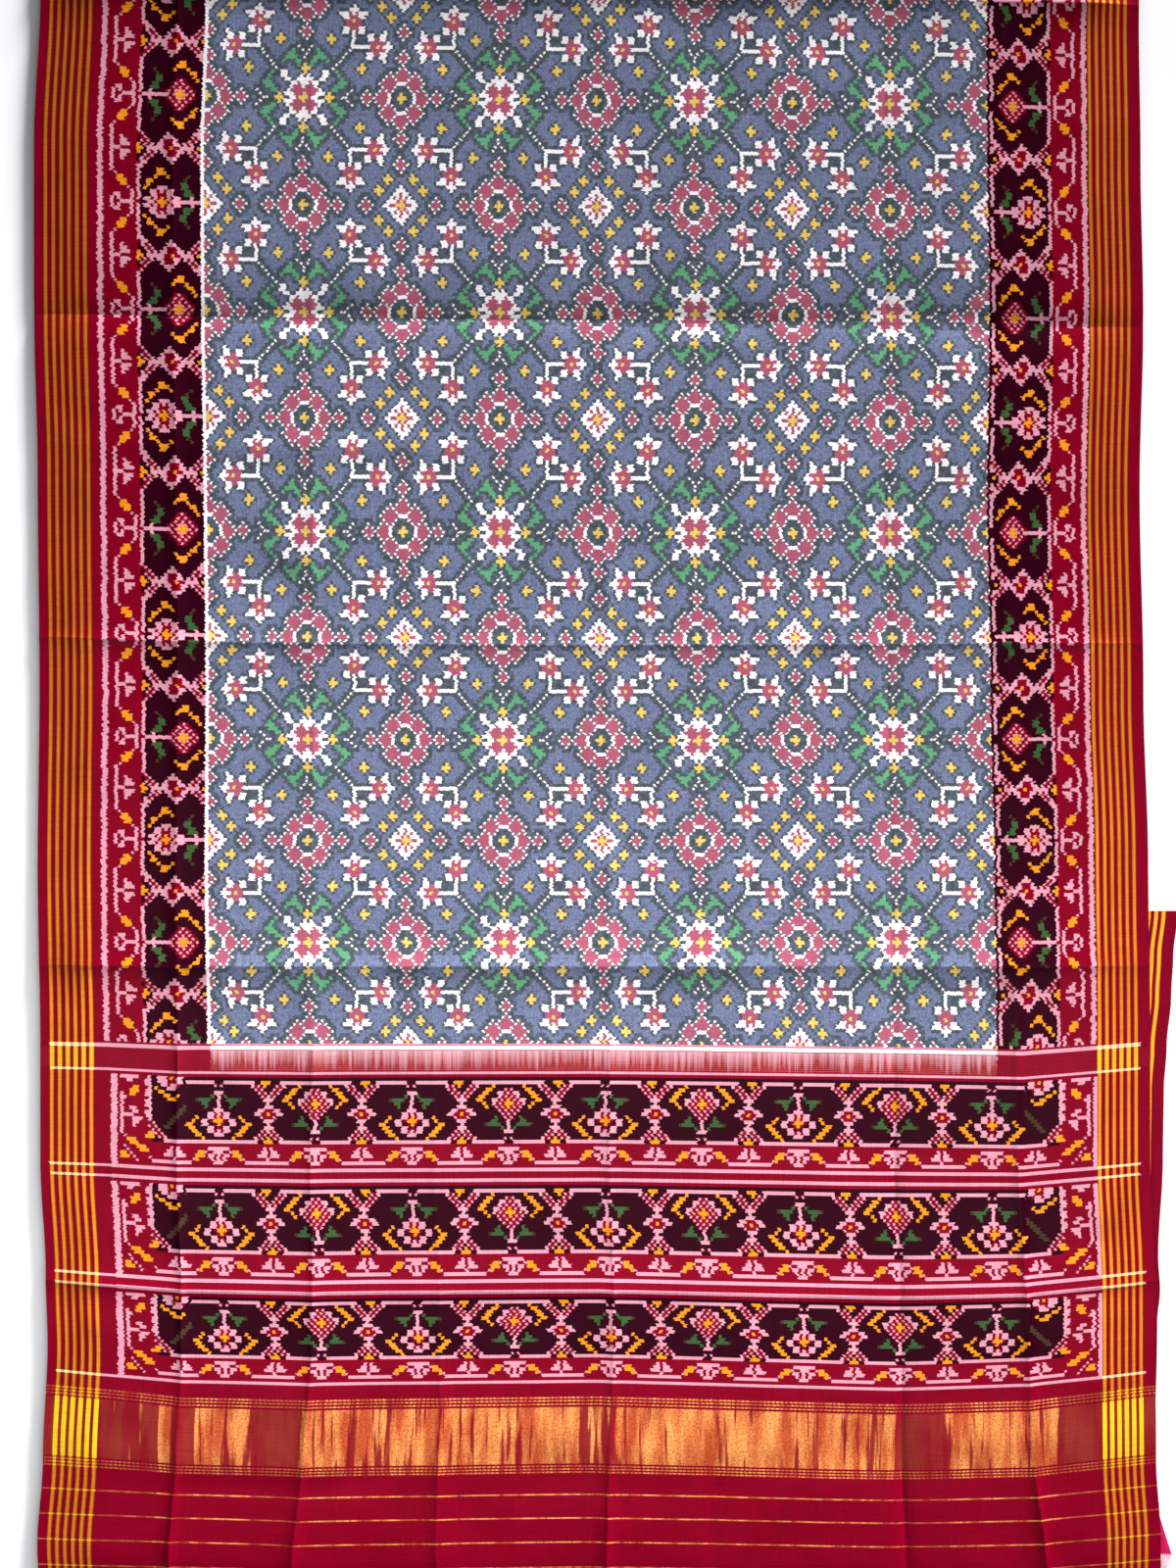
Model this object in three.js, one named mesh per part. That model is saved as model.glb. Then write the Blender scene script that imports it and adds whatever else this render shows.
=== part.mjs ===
import * as THREE from 'three';

// The cloth: one woven length, put away folded in sixteen, so its storage creases divide it in sixteen panels
const clothLength = 5500;
const clothWidth = 1180;
const storageFolds = 16;
const panel = clothLength / storageFolds;

// How it is laid out: six panels show on top, from the hem of the end piece to a fold
const topPanels = 6;
const laidLength = topPanels * panel;
const palluLength = 604;
const upperLength = 2 * panel;
const underPanels = 2.17;
const underLength = underPanels * panel;

// Walls and the play between layers
const wall = 1.5;
const play = 0.3;
const returnLength = 30;
const bendSteps = 5;

// Spacing of the grid that carries the form, and of the lines beside each crease
const cellAlong = 66;
const cellAcross = 66;
const creaseLines = [0, 9, 26];
const crowdedShare = 0.45;
const edgeLine = 0.008;
const besideCrease = 0.018;

// Outline of the top layer: selvedges at each section, measured from the middle line, along from the hem
const outline = [
  { along: 0, left: -599, right: 591 },
  { along: 70, left: -603, right: 591 },
  { along: 155, left: -597, right: 586 },
  { along: 272, left: -592, right: 585 },
  { along: 345, left: -594, right: 585 },
  { along: 478, left: -600, right: 580 },
  { along: 605, left: -600, right: 580 },
  { along: 800, left: -603, right: 578 },
  { along: 980, left: -601, right: 573 },
  { along: 1200, left: -603, right: 569 },
  { along: 1385, left: -607, right: 573 },
  { along: 1550, left: -607, right: 570 },
  { along: 1715, left: -600, right: 568 },
  { along: 1900, left: -603, right: 569 },
  { along: 2063, left: -603, right: 570 },
];

// Outline of the other end of the cloth, which lies lowest and strays out on the right
const underOutline = [
  { along: 0, left: -590, right: 578 },
  { along: 90, left: -592, right: 579 },
  { along: 155, left: -590, right: 586 },
  { along: 310, left: -582, right: 589 },
  { along: 341, left: -581, right: 592 },
  { along: 378, left: -580, right: 590 },
  { along: 480, left: -577, right: 595 },
  { along: 555, left: -574, right: 596 },
  { along: 600, left: -571, right: 599 },
  { along: 657, left: -569, right: 604 },
  { along: 697, left: -567, right: 606 },
  { along: 746, left: -565, right: 611 },
];

// Cross creases of the storage folds. A rise over zero stands as a ridge, under zero it sinks as a trough.
// left, middle and right say how far the line runs ahead of its panel edge.
const crossCreases = [
  { panels: 1, rise: 0.8, spread: 30, left: 2, middle: 0, right: 3 },
  { panels: 2, rise: 1.8, spread: 42, left: 2, middle: -1, right: -1 },
  { panels: 3, rise: 1.1, spread: 36, left: 6, middle: -3, right: -1 },
  { panels: 4, rise: -1.8, spread: 46, left: 4, middle: -2, right: -10 },
  { panels: 5, rise: 2.3, spread: 55, left: 6, middle: -4, right: -15 },
];

// Soft lengthwise creases at the quarter widths, strongest in the end piece
const longCreases = [
  { share: 0.25, rise: 1.5, spread: 34, fade: 760 },
  { share: 0.51, rise: 1.2, spread: 40, fade: 520 },
  { share: 0.765, rise: -1.4, spread: 36, fade: 700 },
];

// The top layer settles this high over the hidden ones, and is held lower within a margin of its edges
const settled = 1.9;
const heldMargin = 60;
const heldShare = 0.35;

// Low swells where the top layer doesn't lie down
const swells = [
  { share: 0.16, along: 210, rise: 1.2, wide: 120, long: 210 },
  { share: 0.66, along: 150, rise: 1.0, wide: 190, long: 120 },
  { share: 0.4, along: 520, rise: 1.3, wide: 210, long: 110 },
  { share: 0.88, along: 600, rise: 1.4, wide: 90, long: 150 },
  { share: 0.2, along: 860, rise: 1.5, wide: 170, long: 120 },
  { share: 0.7, along: 890, rise: 1.2, wide: 160, long: 130 },
  { share: 0.45, along: 1210, rise: 1.6, wide: 240, long: 120 },
  { share: 0.9, along: 1290, rise: 1.3, wide: 90, long: 160 },
  { share: 0.1, along: 1500, rise: 1.4, wide: 90, long: 170 },
  { share: 0.6, along: 1560, rise: 1.5, wide: 220, long: 110 },
  { share: 0.33, along: 1880, rise: 1.3, wide: 200, long: 90 },
];

// The hidden layers under the top one: height of their top, and of what they lie on, along from the hem
const stack = [
  { along: 0, top: 7.2, floor: 0 },
  { along: 26, top: 7.6, floor: 0 },
  { along: 34, top: 7.6, floor: 1.8 },
  { along: 270, top: 7.4, floor: 1.8 },
  { along: 390, top: 5.9, floor: 1.8 },
  { along: 690, top: 5.6, floor: 1.8 },
  { along: 750, top: 5.3, floor: 1.8 },
  { along: 830, top: 4.4, floor: 0 },
  { along: 1990, top: 4.0, floor: 0 },
  { along: 2063, top: 4.0, floor: 0 },
];
const stackInset = { left: 7, right: 9, hem: 5 };
const stackCellAlong = 70;
const stackCellAcross = 90;
const filledShare = 0.5;

// Rounded edges of the hidden layers, down the side of the pile: share of the height, and how far out each is
const layerEdges = [
  { down: 0.06, out: 1.9 },
  { down: 0.22, out: 2.6 },
  { down: 0.34, out: 0.7 },
  { down: 0.46, out: 2.2 },
  { down: 0.58, out: 2.0 },
  { down: 0.67, out: 0.5 },
  { down: 0.8, out: 2.9 },
  { down: 0.95, out: 2.2 },
];

// Corner of the hidden end that strays out beside the hem, with its short warp fringe
const corner = { apex: 107, foot: 60, inner: 580.5, outer: 604.5, tip: 9, thick: 1.2 };
const strand = { count: 9, length: 15, width: 1.5, taper: 0.2, uneven: 0.12 };

function smooth(t) {
  const c = Math.min(1, Math.max(0, t));
  return c * c * (3 - 2 * c);
}

// Value of one column of a section table at a place along the cloth, eased between its rows
function atSection(table, column, along) {
  const last = table.length - 1;
  if (along <= table[0].along) return table[0][column];
  if (along >= table[last].along) return table[last][column];
  const i = table.findIndex((row) => row.along > along);
  const from = table[i - 1];
  const to = table[i];
  const t = smooth((along - from.along) / (to.along - from.along));
  return from[column] + (to[column] - from[column]) * t;
}

// How far a crease line runs ahead of its panel edge at a share of the width
function creaseLead(crease, share) {
  const bend = 4 * share * (1 - share);
  const straight = crease.left + (crease.right - crease.left) * share;
  return straight + (crease.middle - (crease.left + crease.right) / 2) * bend;
}

// The cross threads follow the creases, so rows between two creases share their leads
function threadLead(share, along) {
  const place = along / panel;
  const below = crossCreases.find((row) => row.panels === Math.floor(place));
  const above = crossCreases.find((row) => row.panels === Math.floor(place) + 1);
  const t = place - Math.floor(place);
  const lower = below ? creaseLead(below, share) : 0;
  const upper = above ? creaseLead(above, share) : 0;
  return lower + (upper - lower) * t;
}

// Lift of the top layer above the hidden ones
function lift(share, along) {
  const width = clothWidth * share;
  let height = settled;
  for (const crease of crossCreases) {
    const off = Math.abs(along - crease.panels * panel);
    height += crease.rise * Math.exp(-off / crease.spread);
  }
  for (const crease of longCreases) {
    const off = Math.abs(width - crease.share * clothWidth);
    const strength = Math.exp(-along / crease.fade);
    height += crease.rise * strength * Math.exp(-off / crease.spread);
  }
  for (const swell of swells) {
    const dx = (width - swell.share * clothWidth) / swell.wide;
    const dy = (along - swell.along) / swell.long;
    height += swell.rise * Math.exp(-dx * dx - dy * dy);
  }
  const fromSide = Math.min(width, clothWidth - width);
  const fromEnds = Math.min(along, laidLength - along);
  const held = heldShare + (1 - heldShare) * smooth(fromSide / heldMargin);
  return Math.max(0, height) * held * smooth(fromEnds / heldMargin);
}

const pileTop = (along) => atSection(stack, 'top', along);
const underside = (share, along) => pileTop(along) + play + lift(share, along);

// Place of a point of the top layer: share of the width and distance along, in the laid-out frame
function laidPlace(share, along) {
  const left = atSection(outline, 'left', along);
  const right = atSection(outline, 'right', along);
  const x = left + (right - left) * share;
  const y = along - laidLength / 2 + threadLead(share, along);
  return { x, y };
}

// Even lines from one end to the other, with the wanted lines in place of the ones they crowd out
function gridLines(from, to, step, wanted, crowding) {
  const count = Math.max(1, Math.round((to - from) / step));
  const even = Array.from({ length: count + 1 }, (_, i) => from + ((to - from) * i) / count);
  const inside = wanted.filter((line) => line > from + crowding / 4 && line < to - crowding / 4);
  const kept = even.filter((line, i) => {
    const end = i === 0 || i === count;
    return end || inside.every((other) => Math.abs(other - line) > crowding);
  });
  return [...kept, ...inside].sort((a, b) => a - b);
}

function creaseRows(from, to) {
  const wanted = [];
  for (const crease of crossCreases) {
    for (const off of creaseLines) {
      wanted.push(crease.panels * panel + off);
      if (off > 0) wanted.push(crease.panels * panel - off);
    }
  }
  return gridLines(from, to, cellAlong, wanted, cellAlong * crowdedShare);
}

function creaseColumns() {
  const wanted = [edgeLine, 1 - edgeLine];
  for (const crease of longCreases) {
    wanted.push(crease.share - besideCrease, crease.share, crease.share + besideCrease);
  }
  const step = cellAcross / clothWidth;
  return gridLines(0, 1, step, wanted, step * crowdedShare);
}

// Closed solid from an upper and a lower grid of points, with rings of points between them round the rim
function closedSheet(upper, lower, rings = []) {
  const rows = upper.length;
  const columns = upper[0].length;
  const points = [...upper.flat(), ...lower.flat()];
  const lowerStart = rows * columns;
  const faces = [];
  const at = (r, c) => r * columns + c;
  for (let r = 0; r < rows - 1; r += 1) {
    for (let c = 0; c < columns - 1; c += 1) {
      const quad = [at(r, c), at(r, c + 1), at(r + 1, c + 1), at(r + 1, c)];
      faces.push([quad[0], quad[1], quad[2]], [quad[0], quad[2], quad[3]]);
      const under = quad.map((i) => i + lowerStart);
      faces.push([under[0], under[2], under[1]], [under[0], under[3], under[2]]);
    }
  }
  const rim = rimOrder(rows, columns).map(([r, c]) => at(r, c));
  const loops = [rim];
  for (const ring of rings) {
    loops.push(ring.map((point) => points.push(point) - 1));
  }
  loops.push(rim.map((i) => i + lowerStart));
  for (let k = 0; k < loops.length - 1; k += 1) {
    for (let i = 0; i < rim.length; i += 1) {
      const j = (i + 1) % rim.length;
      faces.push([loops[k][i], loops[k + 1][i], loops[k + 1][j]]);
      faces.push([loops[k][i], loops[k + 1][j], loops[k][j]]);
    }
  }
  const geometry = new THREE.BufferGeometry();
  const places = points.flatMap((point) => [point.x, point.y, point.z]);
  geometry.setAttribute('position', new THREE.Float32BufferAttribute(places, 3));
  geometry.setIndex(faces.flat());
  geometry.computeVertexNormals();
  return geometry;
}

// Grid places round the rim, counterclockwise seen from above
function rimOrder(rows, columns) {
  const order = [];
  for (let c = 0; c < columns - 1; c += 1) order.push([0, c]);
  for (let r = 0; r < rows - 1; r += 1) order.push([r, columns - 1]);
  for (let c = columns - 1; c > 0; c -= 1) order.push([rows - 1, c]);
  for (let r = rows - 1; r > 0; r -= 1) order.push([r, 0]);
  return order;
}

// One stretch of the top layer, as a wall that lies on the pile
function topStretch(from, to) {
  const columns = creaseColumns();
  const upper = [];
  const lower = [];
  for (const along of creaseRows(from, to)) {
    const places = columns.map((share) => ({ ...laidPlace(share, along), z: underside(share, along) }));
    lower.push(places.map(({ x, y, z }) => new THREE.Vector3(x, y, z)));
    upper.push(places.map(({ x, y, z }) => new THREE.Vector3(x, y, z + wall)));
  }
  return { upper, lower };
}

// The last stretch goes on round the fold and a little way back underneath
function foldedStretch(from) {
  const outerRadius = (pileTop(laidLength) + play + wall) / 2;
  const innerRadius = outerRadius - wall;
  const bendAlong = laidLength - outerRadius;
  const { upper, lower } = topStretch(from, bendAlong - play);
  const columns = creaseColumns();
  const bendY = bendAlong - laidLength / 2;
  const addRow = (outer, inner) => {
    const xs = columns.map((share) => laidPlace(share, laidLength).x);
    upper.push(xs.map((x) => new THREE.Vector3(x, outer.y, outer.z)));
    lower.push(xs.map((x) => new THREE.Vector3(x, inner.y, inner.z)));
  };
  for (let i = 0; i <= bendSteps; i += 1) {
    const angle = Math.PI * (0.5 - i / bendSteps);
    const out = { y: Math.cos(angle), z: Math.sin(angle) };
    addRow(
      { y: bendY + outerRadius * out.y, z: outerRadius * (1 + out.z) },
      { y: bendY + innerRadius * out.y, z: outerRadius + innerRadius * out.z },
    );
  }
  addRow({ y: bendY - returnLength, z: 0 }, { y: bendY - returnLength, z: wall });
  return { upper, lower };
}

// The hidden layers: one rounded solid under the top layer, with the edge of each layer showing round it
function foldedLayers() {
  const endAlong = laidLength - returnLength - wall * 4;
  const steps = stack.map((row) => row.along);
  const rows = gridLines(stackInset.hem, endAlong, stackCellAlong, steps, 6);
  const columns = gridLines(0, 1, stackCellAcross / clothWidth, [], 0);
  const near = [-stackCellAlong, -stackCellAlong / 2, 0, stackCellAlong / 2, stackCellAlong];
  const lowest = (share, along) => {
    const lifts = near.flatMap((off) => near.map((side) => {
      const besideShare = Math.min(1, Math.max(0, share + side / clothWidth));
      return lift(besideShare, Math.min(laidLength, Math.max(0, along + off)));
    }));
    return Math.min(...lifts);
  };
  const upper = [];
  const lower = [];
  for (const along of rows) {
    const left = atSection(outline, 'left', along) + stackInset.left;
    const right = atSection(outline, 'right', along) - stackInset.right;
    const y = along - laidLength / 2;
    const across = columns.map((share) => ({ share, x: left + (right - left) * share }));
    const top = ({ share }) => pileTop(along) + filledShare * lowest(share, along);
    upper.push(across.map((place) => new THREE.Vector3(place.x, y, top(place))));
    lower.push(across.map((place) => new THREE.Vector3(place.x, y, atSection(stack, 'floor', along))));
  }
  const rim = rimOrder(rows.length, columns.length);
  const rings = layerEdges.map((edge) => rim.map(([r, c]) => {
    const sideways = c === 0 ? -1 : c === columns.length - 1 ? 1 : 0;
    const hemward = r === 0 ? -1 : 0;
    const length = Math.hypot(sideways, hemward) || 1;
    const point = upper[r][c].clone().lerp(lower[r][c], edge.down);
    point.x += (edge.out * sideways) / length;
    point.y += (edge.out * hemward) / length;
    return point;
  }));
  return closedSheet(upper, lower, rings);
}

// The other end of the cloth, flat on the ground under the pile
function underEnd() {
  const from = stack[2].along;
  const rows = gridLines(from, underLength, cellAlong, [panel, 2 * panel - 30], 12);
  const columns = gridLines(0, 1, (cellAcross * 2) / clothWidth, [], 0);
  const grid = (height) => rows.map((along) => {
    const left = atSection(underOutline, 'left', along);
    const right = atSection(underOutline, 'right', along);
    const y = along - laidLength / 2;
    return columns.map((share) => new THREE.Vector3(left + (right - left) * share, y, height));
  });
  return closedSheet(grid(wall), grid(0));
}

// Stray corner: a thin tongue with a row of strands left on its end
function cornerFringe() {
  const shape = new THREE.Shape();
  const foot = corner.foot - laidLength / 2;
  const apex = corner.apex - laidLength / 2;
  const spacing = (corner.outer - corner.inner) / strand.count;
  shape.moveTo(corner.inner, apex);
  for (let i = 0; i < strand.count; i += 1) {
    const x = corner.inner + spacing * i;
    const reach = strand.length * (1 - strand.uneven * (i % 3));
    shape.lineTo(x, foot);
    shape.lineTo(x + strand.taper, foot - reach);
    shape.lineTo(x + strand.width, foot - reach);
    shape.lineTo(x + strand.width + strand.taper, foot);
  }
  shape.lineTo(corner.outer, foot);
  shape.lineTo(corner.inner + corner.tip, apex);
  shape.closePath();
  return new THREE.ExtrudeGeometry(shape, { depth: corner.thick, bevelEnabled: false });
}

const silk = (name, color, roughness) => (
  new THREE.MeshStandardMaterial({ name, color, roughness, metalness: 0 })
);
const fieldSilk = silk('field_silk', 0x6a7088, 0.55);
const palluSilk = silk('pallu_silk', 0x8c1230, 0.5);
const underSilk = silk('under_silk', 0x9a1436, 0.5);
const fringeSilk = silk('fringe_silk', 0xd9a3b4, 0.7);

const group = new THREE.Group();

function addPiece(name, geometry, material) {
  const mesh = new THREE.Mesh(geometry, material);
  mesh.name = name;
  group.add(mesh);
}

const pallu = topStretch(0, palluLength);
const lowerBody = topStretch(palluLength + play, laidLength - upperLength);
const upperBody = foldedStretch(laidLength - upperLength + play);
addPiece('pallu', closedSheet(pallu.upper, pallu.lower), palluSilk);
addPiece('body_lower', closedSheet(lowerBody.upper, lowerBody.lower), fieldSilk);
addPiece('body_upper', closedSheet(upperBody.upper, upperBody.lower), fieldSilk);
addPiece('folded_layers', foldedLayers(), underSilk);
addPiece('under_end', underEnd(), underSilk);
addPiece('corner_fringe', cornerFringe(), fringeSilk);

// The origin is under the middle of the laid-out part
const box = new THREE.Box3().setFromObject(group);
for (const mesh of group.children) {
  mesh.position.set(-(box.min.x + box.max.x) / 2, -(box.min.y + box.max.y) / 2, 0);
}

export default group;
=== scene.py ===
import math
import random
from functools import partial

import bpy
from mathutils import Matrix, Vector, noise


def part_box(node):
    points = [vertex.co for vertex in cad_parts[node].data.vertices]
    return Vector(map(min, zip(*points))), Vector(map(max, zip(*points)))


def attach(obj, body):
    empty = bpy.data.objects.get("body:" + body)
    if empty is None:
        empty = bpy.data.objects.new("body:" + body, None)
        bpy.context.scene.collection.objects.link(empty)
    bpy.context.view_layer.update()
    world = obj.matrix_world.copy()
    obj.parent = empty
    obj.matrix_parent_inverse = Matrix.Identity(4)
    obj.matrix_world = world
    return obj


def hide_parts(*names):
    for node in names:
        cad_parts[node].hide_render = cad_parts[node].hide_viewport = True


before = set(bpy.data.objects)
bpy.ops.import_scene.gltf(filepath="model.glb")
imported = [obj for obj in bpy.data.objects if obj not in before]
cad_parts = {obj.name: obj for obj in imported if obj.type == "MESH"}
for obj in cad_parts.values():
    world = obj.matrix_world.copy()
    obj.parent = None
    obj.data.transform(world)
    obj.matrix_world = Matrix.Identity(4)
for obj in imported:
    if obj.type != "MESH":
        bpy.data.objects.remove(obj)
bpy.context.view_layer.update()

# Patola saree laid out folded: one length of double-ikat silk. Sizes here are in millimetres.
mm = 0.001

cloth = {
    "length": 5500,
    "width": 1180,
    "folds": 16,  # storage folds, so the creases lie a sixteenth apart
    "thick": 0.7,
    "step": 5.1,  # spacing of the mesh lines
}
panel = cloth["length"] / cloth["folds"]
laid = {
    "top": 6 * panel,  # the top fold, measured from the hem
    "pallu": 604,
    "upper": 4 * panel,  # where the upper stretch of the body begins
    "under": 2.17 * panel,
    "turned": 30,  # turned back underneath at the top fold
}
wall = 1.5  # the solids' wall, and the play between their layers
play = 0.3


def smooth(t):
    c = min(1, max(0, t))
    return c * c * (3 - 2 * c)


def between(table, place, column, ease=smooth):
    # value of a column in a table whose first column is a place, eased between its rows
    if place <= table[0][0]:
        return table[0][column]
    for low, high in zip(table, table[1:]):
        if place < high[0]:
            t = ease((place - low[0]) / (high[0] - low[0]))
            return low[column] + (high[column] - low[column]) * t
    return table[-1][column]


def straight(t):
    return t


# Form of the top layer

# along from the hem, left selvedge, right selvedge, both from the middle line
outline = [
    (0, -599, 591), (70, -603, 591), (155, -597, 586), (272, -592, 585), (345, -594, 585),
    (478, -600, 580), (605, -600, 580), (800, -603, 578), (980, -601, 573), (1200, -603, 569),
    (1385, -607, 573), (1550, -607, 570), (1715, -600, 568), (1900, -603, 569), (2063, -603, 570),
]
# along, then how far the weft runs ahead at each of these shares of the width
leadShares = (0, 0.06, 0.125, 0.235, 0.5, 0.77, 0.885, 1)
weftLeads = [
    (0, 0, 0, 0, 0, 0, 0, 0, 0),
    (50, 2, 1, 0, -4, 0, -6, -3, 7),
    (230, 12, 7, -1, -4, 0, -9, -5, 11),
    (250, 12, 6, 0, -3, 0, -9, -4, 10),
    (575, 5, 4, 0, -1, 0, -4, -6, 5),
    (604, 4, 3, 0, 0, 0, -4, -6, 4),
    (687, 1, 1, 0, 0, 0, 0, 0, 0),
    (1031, 6, 4, 1, -1, -3, -2, -1, -1),
    (1375, 7, 6, 4, 2, 0, -3, -5, -7),
    (1719, 12, 10, 7, 4, 0, -4, -7, -10),
    (2040, 0, 0, 0, 0, 0, 0, 0, 0),
]
# panel edge, broad rise and its spread, sharp rise and its spread
crossCreases = [
    {"panels": 1, "rise": 0.9, "spread": 40, "sharp": 1.9, "width": 6},
    {"panels": 2, "rise": 1.0, "spread": 60, "sharp": 4.9, "width": 15},
    {"panels": 3, "rise": 0.7, "spread": 70, "sharp": 2.6, "width": 6},
    {"panels": 4, "rise": -1.3, "spread": 80, "sharp": -4.8, "width": 16},
    {"panels": 5, "rise": 1.6, "spread": 70, "sharp": 3.6, "width": 13},
]
# share of the width at the hem and further up, the same rises, and how soon they fade
longCreases = [
    {"hem": 0.116, "far": 0.126, "rise": 0.9, "spread": 26, "sharp": 3.2, "width": 5, "fade": 3500},
    {"hem": 0.222, "far": 0.25, "rise": 2.9, "spread": 30, "sharp": 2.8, "width": 5, "fade": 1100},
    {"hem": 0.355, "far": 0.355, "rise": 1.1, "spread": 26, "sharp": 2.6, "width": 4.5, "fade": 340},
    {"hem": 0.505, "far": 0.515, "rise": 2.0, "spread": 28, "sharp": 3.0, "width": 5, "fade": 900},
    {"hem": 0.775, "far": 0.768, "rise": -2.8, "spread": 26, "sharp": -2.8, "width": 5, "fade": 1300},
    {"hem": 0.902, "far": 0.875, "rise": 1.6, "spread": 15, "sharp": 4.0, "width": 5, "fade": 650},
]
# low swells: share, along, rise, width, length
swells = [
    (0.16, 210, 1.2, 120, 210), (0.66, 150, 1.0, 190, 120), (0.4, 520, 1.3, 210, 110),
    (0.88, 600, 1.4, 90, 150), (0.2, 860, 1.5, 170, 120), (0.7, 890, 1.2, 160, 130),
    (0.45, 1210, 1.6, 240, 120), (0.9, 1290, 1.3, 90, 160), (0.1, 1500, 1.4, 90, 170),
    (0.6, 1560, 1.5, 220, 110), (0.33, 1880, 1.3, 200, 90), (0.3, 95, 0.7, 60, 90),
    (0.84, 70, 0.9, 50, 110), (0.55, 330, 0.6, 150, 60), (0.22, 1085, -0.9, 34, 30),
    (0.62, 1120, -0.7, 60, 40), (0.2, 138, -0.9, 110, 11), (0.4, 1480, 0.8, 120, 45),
    (0.75, 1530, -0.8, 90, 50), (0.52, 780, 0.9, 140, 45), (0.3, 760, -0.7, 60, 60),
    (0.33, 668, -2.2, 30, 13), (0.285, 662, 1.8, 16, 22), (0.55, 640, -1.4, 12, 34),
    (0.83, 664, -1.9, 34, 14), (0.19, 1345, -1.8, 22, 16), (0.62, 1350, 1.5, 40, 12),
    (0.86, 1362, -1.6, 26, 15), (0.47, 1362, 1.4, 20, 26), (0.21, 1102, -1.9, 34, 16),
    (0.24, 1075, -1.2, 26, 12), (0.7, 1015, -1.2, 30, 12), (0.16, 560, -1.3, 14, 34),
    (0.04, 300, 1.6, 24, 22), (0.05, 900, 1.7, 22, 26), (0.04, 1270, -1.5, 26, 20),
    (0.96, 420, 1.6, 22, 24), (0.95, 1150, -1.6, 22, 26), (0.6, 90, -1.2, 12, 70), (0.36, 100, 1.3, 14, 80),
    (0.7, 120, 1.1, 16, 60), (0.24, 1238, 1.9, 190, 15), (0.1, 1215, -1.0, 60, 14),
    (0.47, 190, -0.9, 50, 150), (0.85, 330, 1.0, 26, 90), (0.64, 250, 1.0, 40, 120),
    (0.3, 300, -1.0, 26, 150),
]
# along, top of the hidden layers, what they lie on
stack = [
    (0, 7.2, 0), (26, 7.6, 0), (34, 7.6, 1.8), (270, 7.4, 1.8), (390, 5.9, 1.8), (690, 5.6, 1.8),
    (750, 5.3, 1.8), (830, 4.4, 0), (1990, 4.0, 0), (2063, 4.0, 0),
]
# the same weave position measured on the laid cloth and on the even loom cloth
wovenPlaces = [
    (0, 0), (230.2, 230.2), (247.4, 243), (337.5, 341), (455.8, 455.7), (472.3, 472.3), (570.3, 570.3),
    (604, 604), (713.1, 715.5), (821.8, 827.5), (929.6, 939.5), (1038.7, 1051.5), (1149.9, 1163.5),
    (1269.3, 1275.5), (1381.7, 1387.5), (1494.4, 1499.5), (1607.4, 1611.5), (1720, 1724), (2200, 2204),
]
# the middle line's x, found from the furthest point of the lowest layer
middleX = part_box("under_end")[1][0] / mm - 611
relief = {
    "base": 5.2,  # height of the top layer above the hidden ones
    "crossUneven": 0.5, "crossPatch": 140,  # how far a crease's height varies, and over what length
    "longUneven": 0.45, "longPatch": 150,
    "straighten": 300,  # a lengthwise crease bends to its far place within this length
    "coarse": 1.1, "patchAcross": 80, "patchAlong": 52,  # small crumples all over
    "fine": 0.24, "finer": 2.7,
    "ripple": 0.8, "rippleLength": 34, "rippleWidth": 26,  # along the selvedges
    "heldShare": 0.35, "settle": 60,  # the edges and ends lie lower over this width
}


def pileTop(along):
    return between(stack, along, 1)


def weftLead(share, along):
    leads = [between(weftLeads, along, i + 1) for i in range(len(leadShares))]
    return between(list(zip(leadShares, leads)), share, 1, straight)


def peak(off, crease):
    broad = crease["rise"] * math.exp(-off / crease["spread"])
    return broad + crease["sharp"] * math.exp(-off / crease["width"])


def unevenness(share, first, second, third):
    return 1 + share * noise.noise(Vector((first, second, third)))


def lift(share, along):
    # height of the top layer above the hidden ones
    width = cloth["width"] * share
    height = relief["base"]
    for crease in crossCreases:
        uneven = unevenness(relief["crossUneven"], width / relief["crossPatch"], crease["panels"] * 7.3, 0)
        height += uneven * peak(abs(along - crease["panels"] * panel), crease)
    for crease in longCreases:
        bend = math.exp(-along / relief["straighten"])
        off = abs(width - (crease["far"] + (crease["hem"] - crease["far"]) * bend) * cloth["width"])
        uneven = unevenness(relief["longUneven"], along / relief["longPatch"], crease["far"] * 31, 5)
        height += uneven * peak(off, crease) * math.exp(-along / crease["fade"])
    for spot, at, rise, wide, long in swells:
        dx = (width - spot * cloth["width"]) / wide
        dy = (along - at) / long
        height += rise * math.exp(-dx * dx - dy * dy)
    place = Vector((width / relief["patchAcross"], along / relief["patchAlong"], 0.7))
    height += relief["coarse"] * noise.noise(place)
    height += relief["fine"] * noise.noise(place * relief["finer"])
    side = min(width, cloth["width"] - width)
    ripple = noise.noise(Vector((along / relief["rippleLength"], 4.1 if share < 0.5 else 9.3, 0)))
    height += relief["ripple"] * ripple * math.exp(-side / relief["rippleWidth"])
    held = relief["heldShare"] + (1 - relief["heldShare"]) * smooth(side / relief["settle"])
    ends = smooth(min(along, laid["top"] - along) / relief["settle"])
    return max(0, height) * held * ends


def laidPlace(share, along):
    left = between(outline, along, 1)
    right = between(outline, along, 2)
    x = left + (right - left) * share + middleX
    y = along - laid["top"] / 2 + weftLead(share, along)
    return x, y


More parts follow.
